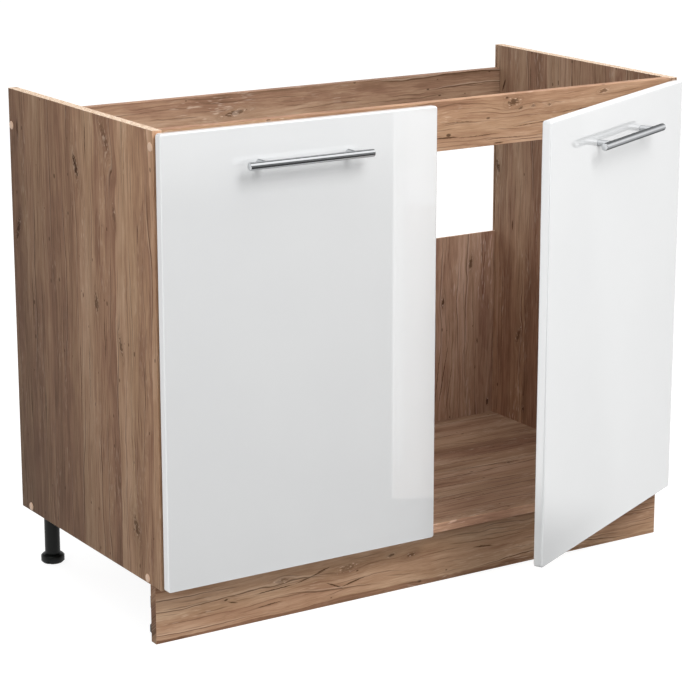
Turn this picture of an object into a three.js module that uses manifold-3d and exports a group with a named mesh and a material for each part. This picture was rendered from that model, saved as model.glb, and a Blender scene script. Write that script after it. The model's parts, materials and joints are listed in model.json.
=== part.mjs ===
// Sink base cabinet, 1000 mm wide, with two gloss doors, bar handles, a clip-on plinth and screw feet.
// Millimetres, +Z up. X runs along the front, +Y to the rear. The cabinet stands on z = 0 and is
// centred on its own outline, with the left door closed and the right door ajar.

import * as THREE from 'three';
import { mergeVertices } from 'three/addons/utils/BufferGeometryUtils.js';
import Module from 'manifold-3d';

// ---------------------------------------------------------------------------------------------
// Driving dimensions
// ---------------------------------------------------------------------------------------------

// Carcass
const cabinetWidth = 1000;
const carcassDepth = 500;
const carcassHeight = 720;
const boardThickness = 16;
const legHeight = 96;             // floor to the underside of the carcass
const railHeight = 80;
const rearRailDrop = 42;          // the rear rail hangs this far below the side panels' top edges
const backPanelHeight = 370;
const backPanelThickness = 3.2;
const backPanelInset = 3;         // from the rear edge of the sides to the back panel
const backGrooveDepth = 7;

// Clearances
const fitClearance = 0.3;         // between pieces that are cut to fit each other
const plinthTopClearance = 0.5;
const plinthFloorClearance = 1;

// Doors
const doorThickness = 16;
const doorGap = 3;                // between the carcass front and the back of a closed door
const doorSideInset = 2;
const doorTopInset = 3;
const doorBottomInset = 1;
const doorMiddleGap = 4;
const doorEdgeRound = 3;
const doorCornerRound = 5;
const rightDoorOpening = 26.5;    // degrees

// Concealed hinges
const cupRadius = 17.5;
const cupDepth = 12.5;
const cupWall = 1;
const cupEdgeDistance = 4;        // from the door's hinge edge to the rim of the cup
const cupFromDoorEnd = 90;        // from the door's top or bottom to the cup's centre
const cupFlangeThickness = 1;
const cupEarLength = 31;          // from the cup's centre to the tip of an ear
const cupEarWidth = 18;
const cupPocketHalfWidth = 7.3;
const hingeAxisInset = 8;         // the axis, from the door's hinge edge
const hingeAxisDepth = 8;         // the axis, from the door's back face
const hingePinRadius = 1.5;
const hingePinBite = 1.2;         // each end of the pin enters the pocket's wall this far
const knuckleRadius = 1.9;
const hookHalfWidth = 5;
const hookReach = 11;             // the hook's straight run from the axis
const hookAngle = 10;             // degrees that run dips into the cup
const armThickness = 1.5;
const armHalfWidth = 7;
const armStart = 6;               // behind the carcass front
const armEnd = 66;
const armNeckDrop = 1.5;          // behind the carcass front, where the neck meets the web
const plateRailHeight = 9;
const plateRailHalfWidth = 5.3;
const plateRailStart = 12;
const plateRailEnd = 62;
const plateLine = 37;             // screw line of the mounting plate, behind the carcass front
const plateWingLength = 52;
const plateWingWidth = 12;
const plateWingThickness = 2;

// Bar handles
const handleLength = 222;
const handleRadius = 6;
const handleChamfer = 0.8;
const handleDrop = 57.5;          // from the door's top to the bar
const handleStandoff = 25.5;      // from the door's face to the middle of the bar
const postSpacing = 160;
const postRadius = 5;
const postThreadRadius = 2.3;
const postThreadDepth = 9;
const handleScrewRadius = 2;
const handleScrewHeadRadius = 4;
const handleScrewHeadHeight = 2.4;
const handleScrewLength = 24;

// Rubber door buffers
const bufferRadius = 4;
const bufferFromFreeEdge = 22;
const bufferFromDoorTop = 12;

// Confirmat screws and their cover caps
const screwHeadRadius = 5;
const screwHeadHeight = 3.8;
const screwHeadRecess = 0.4;
const screwNeckRadius = 3.5;
const screwThreadRadius = 3.1;
const screwLength = 50;
const screwSocketRadius = 2.2;
const screwSocketDepth = 2.8;
const capRadius = 7;
const capThickness = 1.2;
const capRound = 0.7;
const capPegRadius = 1.8;
const capPegLength = 2.4;
const frontRailScrewDrop = 25;    // below the front rail's top edge
const rearRailScrewDrop = 19;     // below the rear rail's top edge
const floorScrewFromFront = 45;
const floorScrewFromRear = 35;

// Adjustable legs
const legFromSide = 35;           // from the cabinet's outer side to the leg's centre
const rearLegFromRear = 39;
const legTubeRadius = 13;
const legTubeWall = 2.7;
const legFlangeRadius = 21;
const legFlangeThickness = 6;
const legFlangeChamfer = 1.5;
const footRadius = 20;
const footHeight = 15;
const footChamfer = 3;
const footStemLength = 62;
const footNotchWidth = 6;
const footNotchDepth = 4;
const footNotchHeight = 5;
const footNotchCount = 4;

// Plinth and its clips
const plinthThickness = 16;
const plinthSetback = 21;         // from the carcass front to the plinth's face
const frontLegBehindPlinth = 28;  // from the plinth's back to the front legs' centres
const clipHeight = 20;
const clipBottom = 42;            // above the floor
const clipPlateHalfWidth = 20;
const clipPlateThickness = 3;
const clipWebHalfWidth = 8;
const clipArmThickness = 3;
const clipArmOverrun = 9;         // the arms reach this far past the leg's centre
const clipSaddleThickness = 5;

// Roundness of turned pieces, and of a quarter round on a door's edges
const fineSegments = 24;
const smallSegments = 12;
const roundSegments = 3;

// ---------------------------------------------------------------------------------------------
// Places worked out from the dimensions
// ---------------------------------------------------------------------------------------------

const LEFT = - 1;
const RIGHT = 1;
const sideName = { [ LEFT ]: 'left', [ RIGHT ]: 'right' };

const halfWidth = cabinetWidth / 2;
const innerHalfWidth = halfWidth - boardThickness;
const carcassTop = legHeight + carcassHeight;
const floorTop = legHeight + boardThickness;
const backPanelFront = carcassDepth - backPanelInset - backPanelThickness;
const rearRailTop = carcassTop - rearRailDrop;

const doorWidth = halfWidth - doorSideInset - doorMiddleGap / 2;
const doorBottom = legHeight + doorBottomInset;
const doorTop = carcassTop - doorTopInset;
const doorBack = - doorGap;
const doorFace = doorBack - doorThickness;
const handleHeight = doorTop - handleDrop;
const hingeAxisY = doorBack - hingeAxisDepth;
const cupHeights = { lower: doorBottom + cupFromDoorEnd, upper: doorTop - cupFromDoorEnd };

const plinthBack = plinthSetback + plinthThickness;
const legLines = { front: plinthBack + frontLegBehindPlinth, rear: carcassDepth - rearLegFromRear };

// A place on a door or cabinet side, measured inwards from the door's hinge edge.
const fromHingeEdge = ( side, distance ) => side * ( halfWidth - doorSideInset - distance );
const hingeAxisX = ( side ) => fromHingeEdge( side, hingeAxisInset );

// ---------------------------------------------------------------------------------------------
// Materials
// ---------------------------------------------------------------------------------------------

const finish = ( color, roughness, metalness = 0 ) => () =>
	new THREE.MeshStandardMaterial( { color, roughness, metalness } );

const oakDecor = finish( 0x7d6453, 0.6 );
const whiteGloss = finish( 0xe6e8e8, 0.12 );
const chrome = finish( 0xc8cbce, 0.12, 1 );
const nickel = finish( 0xb4b2ac, 0.32, 1 );
const zincSteel = finish( 0x9da0a2, 0.4, 1 );
const blackPlastic = finish( 0x1c1e1d, 0.45 );
const beigePlastic = finish( 0xc9ab92, 0.5 );
const clearRubber = finish( 0xd9d9d4, 0.55 );

// ---------------------------------------------------------------------------------------------
// Solid tools
// ---------------------------------------------------------------------------------------------

const wasm = await Module();
wasm.setup();

const mergeDistance = 1e-4;

// A closed mesh as a solid that can be joined and cut.
function solid( geometry ) {

	const bare = geometry.clone();
	bare.deleteAttribute( 'normal' );
	bare.deleteAttribute( 'uv' );
	const merged = mergeVertices( bare, mergeDistance );
	const corners = merged.index.array;
	const triVerts = [];
	for ( let i = 0; i < corners.length; i += 3 ) {

		const [ a, b, c ] = [ corners[ i ], corners[ i + 1 ], corners[ i + 2 ] ];
		if ( a !== b && b !== c && c !== a ) triVerts.push( a, b, c );

	}

	const vertProperties = merged.attributes.position.array;
	const mesh = new wasm.Mesh( { numProp: 3, vertProperties, triVerts: Uint32Array.from( triVerts ) } );
	return new wasm.Manifold( mesh );

}

// A solid as a mesh again.
function surface( manifold ) {

	const { vertProperties, triVerts } = manifold.getMesh();
	const geometry = new THREE.BufferGeometry();
	geometry.setAttribute( 'position', new THREE.BufferAttribute( vertProperties, 3 ) );
	geometry.setIndex( new THREE.BufferAttribute( triVerts, 1 ) );
	geometry.computeVertexNormals();
	return geometry;

}

function join( ...geometries ) {

	return surface( geometries.map( solid ).reduce( ( sum, next ) => sum.add( next ) ) );

}

function cut( base, tools ) {

	return surface( tools.map( solid ).reduce( ( rest, tool ) => rest.subtract( tool ), solid( base ) ) );

}

// A block between two corners given in any order.
function block( [ x0, x1 ], [ y0, y1 ], [ z0, z1 ] ) {

	const size = [ Math.abs( x1 - x0 ), Math.abs( y1 - y0 ), Math.abs( z1 - z0 ) ];
	return new THREE.BoxGeometry( ...size ).translate( ( x0 + x1 ) / 2, ( y0 + y1 ) / 2, ( z0 + z1 ) / 2 );

}

// A turned piece about Z. Its profile is a list of [ radius, height ] that runs up the outside.
function turned( profile, segments ) {

	const points = profile.map( ( [ radius, height ] ) => new THREE.Vector2( radius, height ) );
	return new THREE.LatheGeometry( points, segments ).rotateX( Math.PI / 2 );

}

// A round bar along Z.
function rod( radius, from, to, segments ) {

	return turned( [ [ 0, from ], [ radius, from ], [ radius, to ], [ 0, to ] ], segments );

}

// Turns a piece made along +Z so that it runs from the cabinet's outer side inwards.
const alongInwards = ( geometry, side ) => geometry.rotateY( - side * Math.PI / 2 );

// Turns a piece made along +Z so that it runs to the front, -Y.
const alongFront = ( geometry ) => geometry.rotateX( Math.PI / 2 );

// Raises an outline in X and Y from one height to another.
function raised( shape, z0, z1 ) {

	const depth = z1 - z0;
	return new THREE.ExtrudeGeometry( shape, { depth, bevelEnabled: false } ).translate( 0, 0, z0 );

}

function roundedRectangle( x0, x1, y0, y1, radius ) {

	const shape = new THREE.Shape();
	shape.moveTo( x0 + radius, y0 );
	shape.lineTo( x1 - radius, y0 );
	shape.absarc( x1 - radius, y0 + radius, radius, - Math.PI / 2, 0 );
	shape.lineTo( x1, y1 - radius );
	shape.absarc( x1 - radius, y1 - radius, radius, 0, Math.PI / 2 );
	shape.lineTo( x0 + radius, y1 );
	shape.absarc( x0 + radius, y1 - radius, radius, Math.PI / 2, Math.PI );
	shape.lineTo( x0, y0 + radius );
	shape.absarc( x0 + radius, y0 + radius, radius, Math.PI, 3 * Math.PI / 2 );
	return shape;

}

function piece( name, geometry, material ) {

	const mesh = new THREE.Mesh( geometry, material() );
	mesh.name = name;
	return mesh;

}

// ---------------------------------------------------------------------------------------------
// Carcass
// ---------------------------------------------------------------------------------------------

// The screw joints between a side panel and what it carries: [ name, y, z ].
const screwJoints = [
	[ 'front_rail', boardThickness / 2, carcassTop - frontRailScrewDrop ],
	[ 'rear_rail', carcassDepth - boardThickness / 2, rearRailTop - rearRailScrewDrop ],
	[ 'floor_front', floorScrewFromFront, legHeight + boardThickness / 2 ],
	[ 'floor_rear', carcassDepth - floorScrewFromRear, legHeight + boardThickness / 2 ],
];

const cutOverrun = 1;
const drillPoint = 1;             // a screw hole is this much deeper than its screw needs

function screwHole( side, y, z ) {

	const hole = turned( [
		[ 0, - cutOverrun ],
		[ screwHeadRadius + fitClearance, - cutOverrun ],
		[ screwHeadRadius + fitClearance, screwHeadRecess + screwHeadHeight + fitClearance ],
		[ screwNeckRadius + fitClearance, screwHeadRecess + screwHeadHeight + fitClearance ],
		[ screwNeckRadius + fitClearance, boardThickness + cutOverrun ],
		[ 0, boardThickness + cutOverrun ],
	], smallSegments );
	return alongInwards( hole, side ).translate( side * halfWidth, y, z );

}

function threadHole( side, y, z ) {

	const start = boardThickness - cutOverrun;
	const end = screwLength + fitClearance + drillPoint;
	const hole = rod( screwThreadRadius + fitClearance, start, end, smallSegments );
	return alongInwards( hole, side ).translate( side * halfWidth, y, z );

}

function threadHoles( names ) {

	const joints = screwJoints.filter( ( [ name ] ) => names.includes( name ) );
	return [ LEFT, RIGHT ].flatMap( ( side ) => joints.map( ( [ , y, z ] ) => threadHole( side, y, z ) ) );

}

function sidePanel( side ) {

	const board = block(
		[ side * innerHalfWidth, side * halfWidth ],
		[ 0, carcassDepth ],
		[ legHeight, carcassTop ],
	);
	const groove = block(
		[ side * ( innerHalfWidth - cutOverrun ), side * ( innerHalfWidth + backGrooveDepth ) ],
		[ backPanelFront - fitClearance, backPanelFront + backPanelThickness + fitClearance ],
		[ legHeight - cutOverrun, carcassTop + cutOverrun ],
	);
	const holes = screwJoints.map( ( [ , y, z ] ) => screwHole( side, y, z ) );
	return piece( `side_panel_${ sideName[ side ] }`, cut( board, [ groove, ...holes ] ), oakDecor );

}

function bottomPanel() {

	const board = block(
		[ - innerHalfWidth, innerHalfWidth ],
		[ 0, backPanelFront - fitClearance ],
		[ legHeight, floorTop ],
	);
	return piece( 'bottom_panel', cut( board, threadHoles( [ 'floor_front', 'floor_rear' ] ) ), oakDecor );

}

function rail( name, y0, top ) {

	const board = block(
		[ - innerHalfWidth, innerHalfWidth ],
		[ y0, y0 + boardThickness ],
		[ top - railHeight, top ],
	);
	return piece( name, cut( board, threadHoles( [ name ] ) ), oakDecor );

}

function backPanel() {

	const halfSpan = innerHalfWidth + backGrooveDepth - fitClearance;
	const sheet = block(
		[ - halfSpan, halfSpan ],
		[ backPanelFront, backPanelFront + backPanelThickness ],
		[ legHeight, legHeight + backPanelHeight ],
	);
	return piece( 'back_panel', sheet, oakDecor );

}

function carcassScrew( side, [ name, y, z ] ) {

	const neckStart = screwHeadRecess + screwHeadHeight;
	const profile = [
		[ 0, screwHeadRecess + screwSocketDepth ],
		[ screwSocketRadius, screwHeadRecess + screwSocketDepth ],
		[ screwSocketRadius, screwHeadRecess ],
		[ screwHeadRadius, screwHeadRecess ],
		[ screwHeadRadius, neckStart ],
		[ screwNeckRadius, neckStart ],
		[ screwNeckRadius, boardThickness ],
		[ screwThreadRadius, boardThickness ],
		[ screwThreadRadius, screwLength - screwThreadRadius ],
		[ 0, screwLength ],
	];
	const screw = alongInwards( turned( profile, smallSegments ), side );
	screw.translate( side * halfWidth, y, z );
	return piece( `screw_${ name }_${ sideName[ side ] }`, screw, zincSteel );

}

function coverCap( side, [ name, y, z ] ) {

	const profile = [
		[ 0, - capThickness ],
		[ capRadius - capRound, - capThickness ],
		[ capRadius, capRound - capThickness ],
		[ capRadius, 0 ],
		[ capPegRadius, 0 ],
		[ capPegRadius, capPegLength ],
		[ 0, capPegLength ],
	];
	const cap = alongInwards( turned( profile, smallSegments ), side );
	cap.translate( side * halfWidth, y, z );
	return piece( `cap_${ name }_${ sideName[ side ] }`, cap, beigePlastic );

}

// ---------------------------------------------------------------------------------------------
// Legs
// ---------------------------------------------------------------------------------------------

function legPlaces() {

	return Object.entries( legLines ).flatMap( ( [ line, y ] ) => [ LEFT, RIGHT ].map( ( side ) =>
		( { name: `${ line }_${ sideName[ side ] }`, x: side * ( halfWidth - legFromSide ), y } ) ) );

}

const boreRadius = legTubeRadius - legTubeWall;

function legTube( { name, x, y } ) {

	const boreTop = footHeight + footStemLength + 2 * fitClearance;
	const flangeBottom = legHeight - legFlangeThickness;
	const profile = [
		[ 0, boreTop ],
		[ boreRadius, boreTop ],
		[ boreRadius, footHeight + fitClearance ],
		[ legTubeRadius, footHeight + fitClearance ],
		[ legTubeRadius, flangeBottom ],
		[ legFlangeRadius - legFlangeChamfer, flangeBottom ],
		[ legFlangeRadius, flangeBottom + legFlangeChamfer ],
		[ legFlangeRadius, legHeight ],
		[ 0, legHeight ],
	];
	return piece( `leg_${ name }`, turned( profile, fineSegments ).translate( x, y, 0 ), blackPlastic );

}

function foot( { name, x, y } ) {

	const stemRadius = boreRadius - fitClearance;
	const turnedFoot = turned( [
		[ 0, 0 ],
		[ footRadius - footChamfer, 0 ],
		[ footRadius, footChamfer ],
		[ footRadius, footHeight - footChamfer ],
		[ footRadius - footChamfer, footHeight ],
		[ stemRadius, footHeight ],
		[ stemRadius, footHeight + footStemLength ],
		[ 0, footHeight + footStemLength ],
	], fineSegments );
	const notches = Array.from( { length: footNotchCount }, ( _, i ) => block(
		[ footRadius - footNotchDepth, footRadius + cutOverrun ],
		[ - footNotchWidth / 2, footNotchWidth / 2 ],
		[ - cutOverrun, footNotchHeight ],
	).rotateZ( ( i + 0.5 ) * 2 * Math.PI / footNotchCount ) );
	return piece( `foot_${ name }`, cut( turnedFoot, notches ).translate( x, y, 0 ), blackPlastic );

}

// ---------------------------------------------------------------------------------------------
// Plinth
// ---------------------------------------------------------------------------------------------

function plinthBoard() {

	const board = block(
		[ - halfWidth, halfWidth ],
		[ plinthSetback, plinthBack ],
		[ plinthFloorClearance, legHeight - plinthTopClearance ],
	);
	return piece( 'plinth', board, oakDecor );

}

// A clip grips a front leg between two straight arms, so that the plinth pulls off to the front.
function plinthClip( side ) {

	const saddle = legTubeRadius + fitClearance;
	const outer = saddle + clipArmThickness;
	const plateFront = - frontLegBehindPlinth;
	const plateBack = plateFront + clipPlateThickness;
	const saddleFront = - saddle - clipSaddleThickness;
	const shape = new THREE.Shape();
	shape.moveTo( - clipPlateHalfWidth, plateFront );
	shape.lineTo( clipPlateHalfWidth, plateFront );
	shape.lineTo( clipPlateHalfWidth, plateBack );
	shape.lineTo( clipWebHalfWidth, plateBack );
	shape.lineTo( clipWebHalfWidth, saddleFront );
	shape.lineTo( outer, saddleFront );
	shape.lineTo( outer, clipArmOverrun );
	shape.lineTo( saddle, clipArmOverrun );
	shape.lineTo( saddle, 0 );
	shape.absarc( 0, 0, saddle, 0, - Math.PI, true );
	shape.lineTo( - saddle, clipArmOverrun );
	shape.lineTo( - outer, clipArmOverrun );
	shape.lineTo( - outer, saddleFront );
	shape.lineTo( - clipWebHalfWidth, saddleFront );
	shape.lineTo( - clipWebHalfWidth, plateBack );
	shape.lineTo( - clipPlateHalfWidth, plateBack );
	const clip = raised( shape, clipBottom, clipBottom + clipHeight );
	clip.translate( side * ( halfWidth - legFromSide ), legLines.front, 0 );
	return piece( `plinth_clip_${ sideName[ side ] }`, clip, blackPlastic );

}

// ---------------------------------------------------------------------------------------------
// Concealed hinges
// ---------------------------------------------------------------------------------------------

const cupCentre = ( side ) => fromHingeEdge( side, cupEdgeDistance + cupRadius );

// The cup, with a pocket that is open to the back of the door and holed for the pin's ends.
function hingeCup( side, level ) {

	const height = cupHeights[ level ];
	const centre = cupCentre( side );
	const seat = doorBack + fitClearance;
	const round = ( radius, start, end ) =>
		alongFront( rod( radius, start, end, fineSegments ) ).translate( centre, doorBack, height );
	const barrel = round( cupRadius, 0, cupDepth );
	const rim = round( cupRadius, - fitClearance - cupFlangeThickness, 0 );
	const bore = round( cupRadius - cupWall, - cupFlangeThickness - cutOverrun, cupDepth - cupWall );
	const ears = block(
		[ centre - cupEarWidth / 2, centre + cupEarWidth / 2 ],
		[ seat, seat + cupFlangeThickness ],
		[ height - cupEarLength, height + cupEarLength ],
	);
	const pocketSlab = block(
		[ centre - cupRadius, centre + cupRadius ],
		[ doorBack - cupDepth, doorBack + cupFlangeThickness + 2 * cutOverrun ],
		[ height - cupPocketHalfWidth, height + cupPocketHalfWidth ],
	);
	const pocket = solid( bore ).intersect( solid( pocketSlab ) );
	const pinHoleReach = cupPocketHalfWidth + hingePinBite + fitClearance;
	const pinHole = rod(
		hingePinRadius + fitClearance,
		height - pinHoleReach, height + pinHoleReach,
		smallSegments,
	).translate( hingeAxisX( side ), hingeAxisY, 0 );
	const cup = cut( join( barrel, rim, ears ), [ surface( pocket ), pinHole ] );
	return piece( `hinge_cup_${ level }_${ sideName[ side ] }`, cup, nickel );

}

// The side panel's inner face carries the mounting plate, whose rail guides the arm.
const plateFoot = ( side, rise ) => side * ( innerHalfWidth - rise );
const armWebRise = plateRailHeight + fitClearance;

function hingePlate( side, level ) {

	const height = cupHeights[ level ];
	const wings = block(
		[ plateFoot( side, 0 ), plateFoot( side, plateWingThickness ) ],
		[ plateLine - plateWingWidth / 2, plateLine + plateWingWidth / 2 ],
		[ height - plateWingLength / 2, height + plateWingLength / 2 ],
	);
	const guide = block(
		[ plateFoot( side, 0 ), plateFoot( side, plateRailHeight ) ],
		[ plateRailStart, plateRailEnd ],
		[ height - plateRailHalfWidth, height + plateRailHalfWidth ],
	);
	return piece( `hinge_plate_${ level }_${ sideName[ side ] }`, join( wings, guide ), nickel );

}

// A bent strip of even thickness along a list of plan points.
function bentStrip( points, thickness ) {

	const offset = ( sign ) => points.map( ( point, i ) => {

		const before = points[ Math.max( i - 1, 0 ) ];
		const after = points[ Math.min( i + 1, points.length - 1 ) ];
		const into = point.clone().sub( before ).normalize();
		const out = after.clone().sub( point ).normalize();
		const along = into.clone().add( out ).normalize();
		const normal = new THREE.Vector2( - along.y, along.x );
		const straight = into.length() > 0 ? into : out;
		const mitre = Math.abs( along.dot( straight ) );
		return point.clone().addScaledVector( normal, sign * thickness / 2 / mitre );

	} );
	return new THREE.Shape( [ ...offset( 1 ), ...offset( - 1 ).reverse() ] );

}

// The arm hooks round the side panel's front corner into the cup and turns on the pin.
function hingeArm( side, level ) {

	const height = cupHeights[ level ];
	const axis = new THREE.Vector2( hingeAxisX( side ), hingeAxisY );
	const dip = THREE.MathUtils.degToRad( hookAngle );
	const webX = plateFoot( side, armWebRise + armThickness / 2 );
	const inCup = new THREE.Vector2(
		axis.x - side * hookReach * Math.cos( dip ),
		axis.y - hookReach * Math.sin( dip ),
	);
	const neck = new THREE.Vector2( webX, armNeckDrop );
	const webEnd = new THREE.Vector2( webX, armEnd );
	const hook = raised(
		bentStrip( [ axis, inCup, neck, webEnd ], armThickness ),
		height - hookHalfWidth, height + hookHalfWidth,
	);
	const pinReach = cupPocketHalfWidth + hingePinBite;
	const knuckle = rod( knuckleRadius, height - hookHalfWidth, height + hookHalfWidth, smallSegments );
	const pin = rod( hingePinRadius, height - pinReach, height + pinReach, smallSegments );
	const web = block(
		[ plateFoot( side, armWebRise ), plateFoot( side, armWebRise + armThickness ) ],
		[ armStart, armEnd ],
		[ height - armHalfWidth, height + armHalfWidth ],
	);
	const cheeks = [ LEFT, RIGHT ].map( ( end ) => block(
		[ plateFoot( side, plateWingThickness + fitClearance ), plateFoot( side, armWebRise + armThickness ) ],
		[ plateRailStart, armEnd ],
		[ height + end * ( plateRailHalfWidth + fitClearance ), height + end * armHalfWidth ],
	) );
	const turning = [ knuckle, pin ].map( ( part ) => part.translate( axis.x, axis.y, 0 ) );
	const arm = join( hook, ...turning, web, ...cheeks );
	return piece( `hinge_arm_${ level }_${ sideName[ side ] }`, arm, nickel );

}

// ---------------------------------------------------------------------------------------------
// Doors, drawn closed
// ---------------------------------------------------------------------------------------------

const doorMiddle = ( side ) => fromHingeEdge( side, doorWidth / 2 );
const postPlaces = ( side ) => [ - 1, 1 ].map( ( end ) => doorMiddle( side ) + end * postSpacing / 2 );
const postNames = [ 'a', 'b' ];

function doorBoard( side ) {

	const middle = doorMiddle( side );
	const halfDoor = doorWidth / 2;
	const face = roundedRectangle(
		middle - halfDoor + doorEdgeRound, middle + halfDoor - doorEdgeRound,
		doorBottom + doorEdgeRound, doorTop - doorEdgeRound,
		doorCornerRound - doorEdgeRound,
	);
	const board = new THREE.ExtrudeGeometry( face, {
		depth: doorThickness - 2 * doorEdgeRound,
		bevelThickness: doorEdgeRound,
		bevelSize: doorEdgeRound,
		bevelSegments: roundSegments,
		curveSegments: roundSegments,
	} );
	board.rotateX( Math.PI / 2 ).translate( 0, doorBack - doorEdgeRound, 0 );
	const cupBores = Object.values( cupHeights ).map( ( height ) =>
		alongFront( rod( cupRadius + fitClearance, - cutOverrun, cupDepth + fitClearance, fineSegments ) )
			.translate( cupCentre( side ), doorBack, height ) );
	const screwBores = postPlaces( side ).map( ( x ) => alongFront( turned( [
		[ 0, - cutOverrun ],
		[ handleScrewHeadRadius + fitClearance, - cutOverrun ],
		[ handleScrewHeadRadius + fitClearance, handleScrewHeadHeight + 2 * fitClearance ],
		[ handleScrewRadius + fitClearance, handleScrewHeadHeight + 2 * fitClearance ],
		[ handleScrewRadius + fitClearance, doorThickness + cutOverrun ],
		[ 0, doorThickness + cutOverrun ],
	], smallSegments ) ).translate( x, doorBack, handleHeight ) );
	return piece( `door_${ sideName[ side ] }`, cut( board, [ ...cupBores, ...screwBores ] ), whiteGloss );

}

function handleBar( side ) {

	const half = handleLength / 2;
	const bar = turned( [
		[ 0, - half ],
		[ handleRadius - handleChamfer, - half ],
		[ handleRadius, handleChamfer - half ],
		[ handleRadius, half - handleChamfer ],
		[ handleRadius - handleChamfer, half ],
		[ 0, half ],
	], fineSegments ).rotateY( Math.PI / 2 );
	return piece(
		`handle_bar_${ sideName[ side ] }`,
		bar.translate( doorMiddle( side ), doorFace - handleStandoff, handleHeight ),
		chrome,
	);

}

function handlePost( side, x, name ) {

	const post = alongFront( rod( postRadius, fitClearance, handleStandoff, smallSegments ) );
	const saddle = rod( handleRadius + fitClearance, - 2 * postRadius, 2 * postRadius, fineSegments )
		.rotateY( Math.PI / 2 ).translate( 0, - handleStandoff, 0 );
	const threadEnd = fitClearance + postThreadDepth;
	const thread = alongFront( rod( postThreadRadius, - cutOverrun, threadEnd, smallSegments ) );
	const shaped = cut( post, [ saddle, thread ] ).translate( x, doorFace, handleHeight );
	return piece( `handle_post_${ name }_${ sideName[ side ] }`, shaped, chrome );

}

function handleScrew( side, x, name ) {

	const headTop = fitClearance + handleScrewHeadHeight;
	const screw = alongFront( turned( [
		[ 0, fitClearance ],
		[ handleScrewHeadRadius, fitClearance ],
		[ handleScrewHeadRadius, headTop ],
		[ handleScrewRadius, headTop ],
		[ handleScrewRadius, handleScrewLength ],
		[ 0, handleScrewLength ],
	], smallSegments ) ).translate( x, doorBack, handleHeight );
	return piece( `handle_screw_${ name }_${ sideName[ side ] }`, screw, zincSteel );

}

// A soft stop on the back of the door, which meets the front rail when the door is shut.
function doorBuffer( side ) {

	const thickness = doorGap - 2 * fitClearance;
	const tip = - fitClearance - thickness;
	const buffer = alongFront( rod( bufferRadius, tip, - fitClearance, smallSegments ) );
	const across = fromHingeEdge( side, doorWidth - bufferFromFreeEdge );
	buffer.translate( across, doorBack, doorTop - bufferFromDoorTop );
	return piece( `door_buffer_${ sideName[ side ] }`, buffer, clearRubber );

}

function doorPieces( side ) {

	const posts = postPlaces( side );
	return [
		doorBoard( side ),
		handleBar( side ),
		...posts.map( ( x, i ) => handlePost( side, x, postNames[ i ] ) ),
		...posts.map( ( x, i ) => handleScrew( side, x, postNames[ i ] ) ),
		...Object.keys( cupHeights ).map( ( level ) => hingeCup( side, level ) ),
		doorBuffer( side ),
	];

}

// Hangs a closed door on its hinge axis and swings it open by an angle in degrees.
function hungDoor( side, opening ) {

	const swing = new THREE.Group();
	swing.position.set( hingeAxisX( side ), hingeAxisY, 0 );
	swing.rotation.z = side * THREE.MathUtils.degToRad( opening );
	for ( const mesh of doorPieces( side ) ) {

		mesh.position.set( - hingeAxisX( side ), - hingeAxisY, 0 );
		swing.add( mesh );

	}

	return swing;

}

// ---------------------------------------------------------------------------------------------
// Cabinet
// ---------------------------------------------------------------------------------------------

const cabinet = new THREE.Group();

cabinet.add(
	bottomPanel(),
	rail( 'front_rail', 0, carcassTop ),
	rail( 'rear_rail', carcassDepth - boardThickness, rearRailTop ),
	backPanel(),
	plinthBoard(),
);

for ( const side of [ LEFT, RIGHT ] ) {

	cabinet.add( sidePanel( side ), plinthClip( side ) );
	cabinet.add( ...screwJoints.map( ( joint ) => carcassScrew( side, joint ) ) );
	cabinet.add( ...screwJoints.map( ( joint ) => coverCap( side, joint ) ) );
	for ( const level of Object.keys( cupHeights ) ) {

		cabinet.add( hingePlate( side, level ), hingeArm( side, level ) );

	}

}

cabinet.add( ...legPlaces().map( legTube ), ...legPlaces().map( foot ) );
cabinet.add( hungDoor( LEFT, 0 ), hungDoor( RIGHT, rightDoorOpening ) );

// The origin lies on the floor, in the middle of the outline of everything as it stands.
cabinet.updateMatrixWorld( true );
const outline = new THREE.Box3().setFromObject( cabinet, true );
const centre = outline.getCenter( new THREE.Vector3() );
cabinet.position.set( - centre.x, - centre.y, - outline.min.z );

export default cabinet;
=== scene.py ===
"""Looks of a sink base cabinet: craft oak boards, white gloss doors, chrome bar handles and screw feet.

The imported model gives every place. Lengths are metres, and MM turns millimetres into them.
"""

import json
import logging
import math
from abc import ABC, abstractmethod
from dataclasses import dataclass
from enum import Enum
from typing import Callable, ClassVar

import bmesh
import bpy
from mathutils import Matrix, Vector


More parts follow.
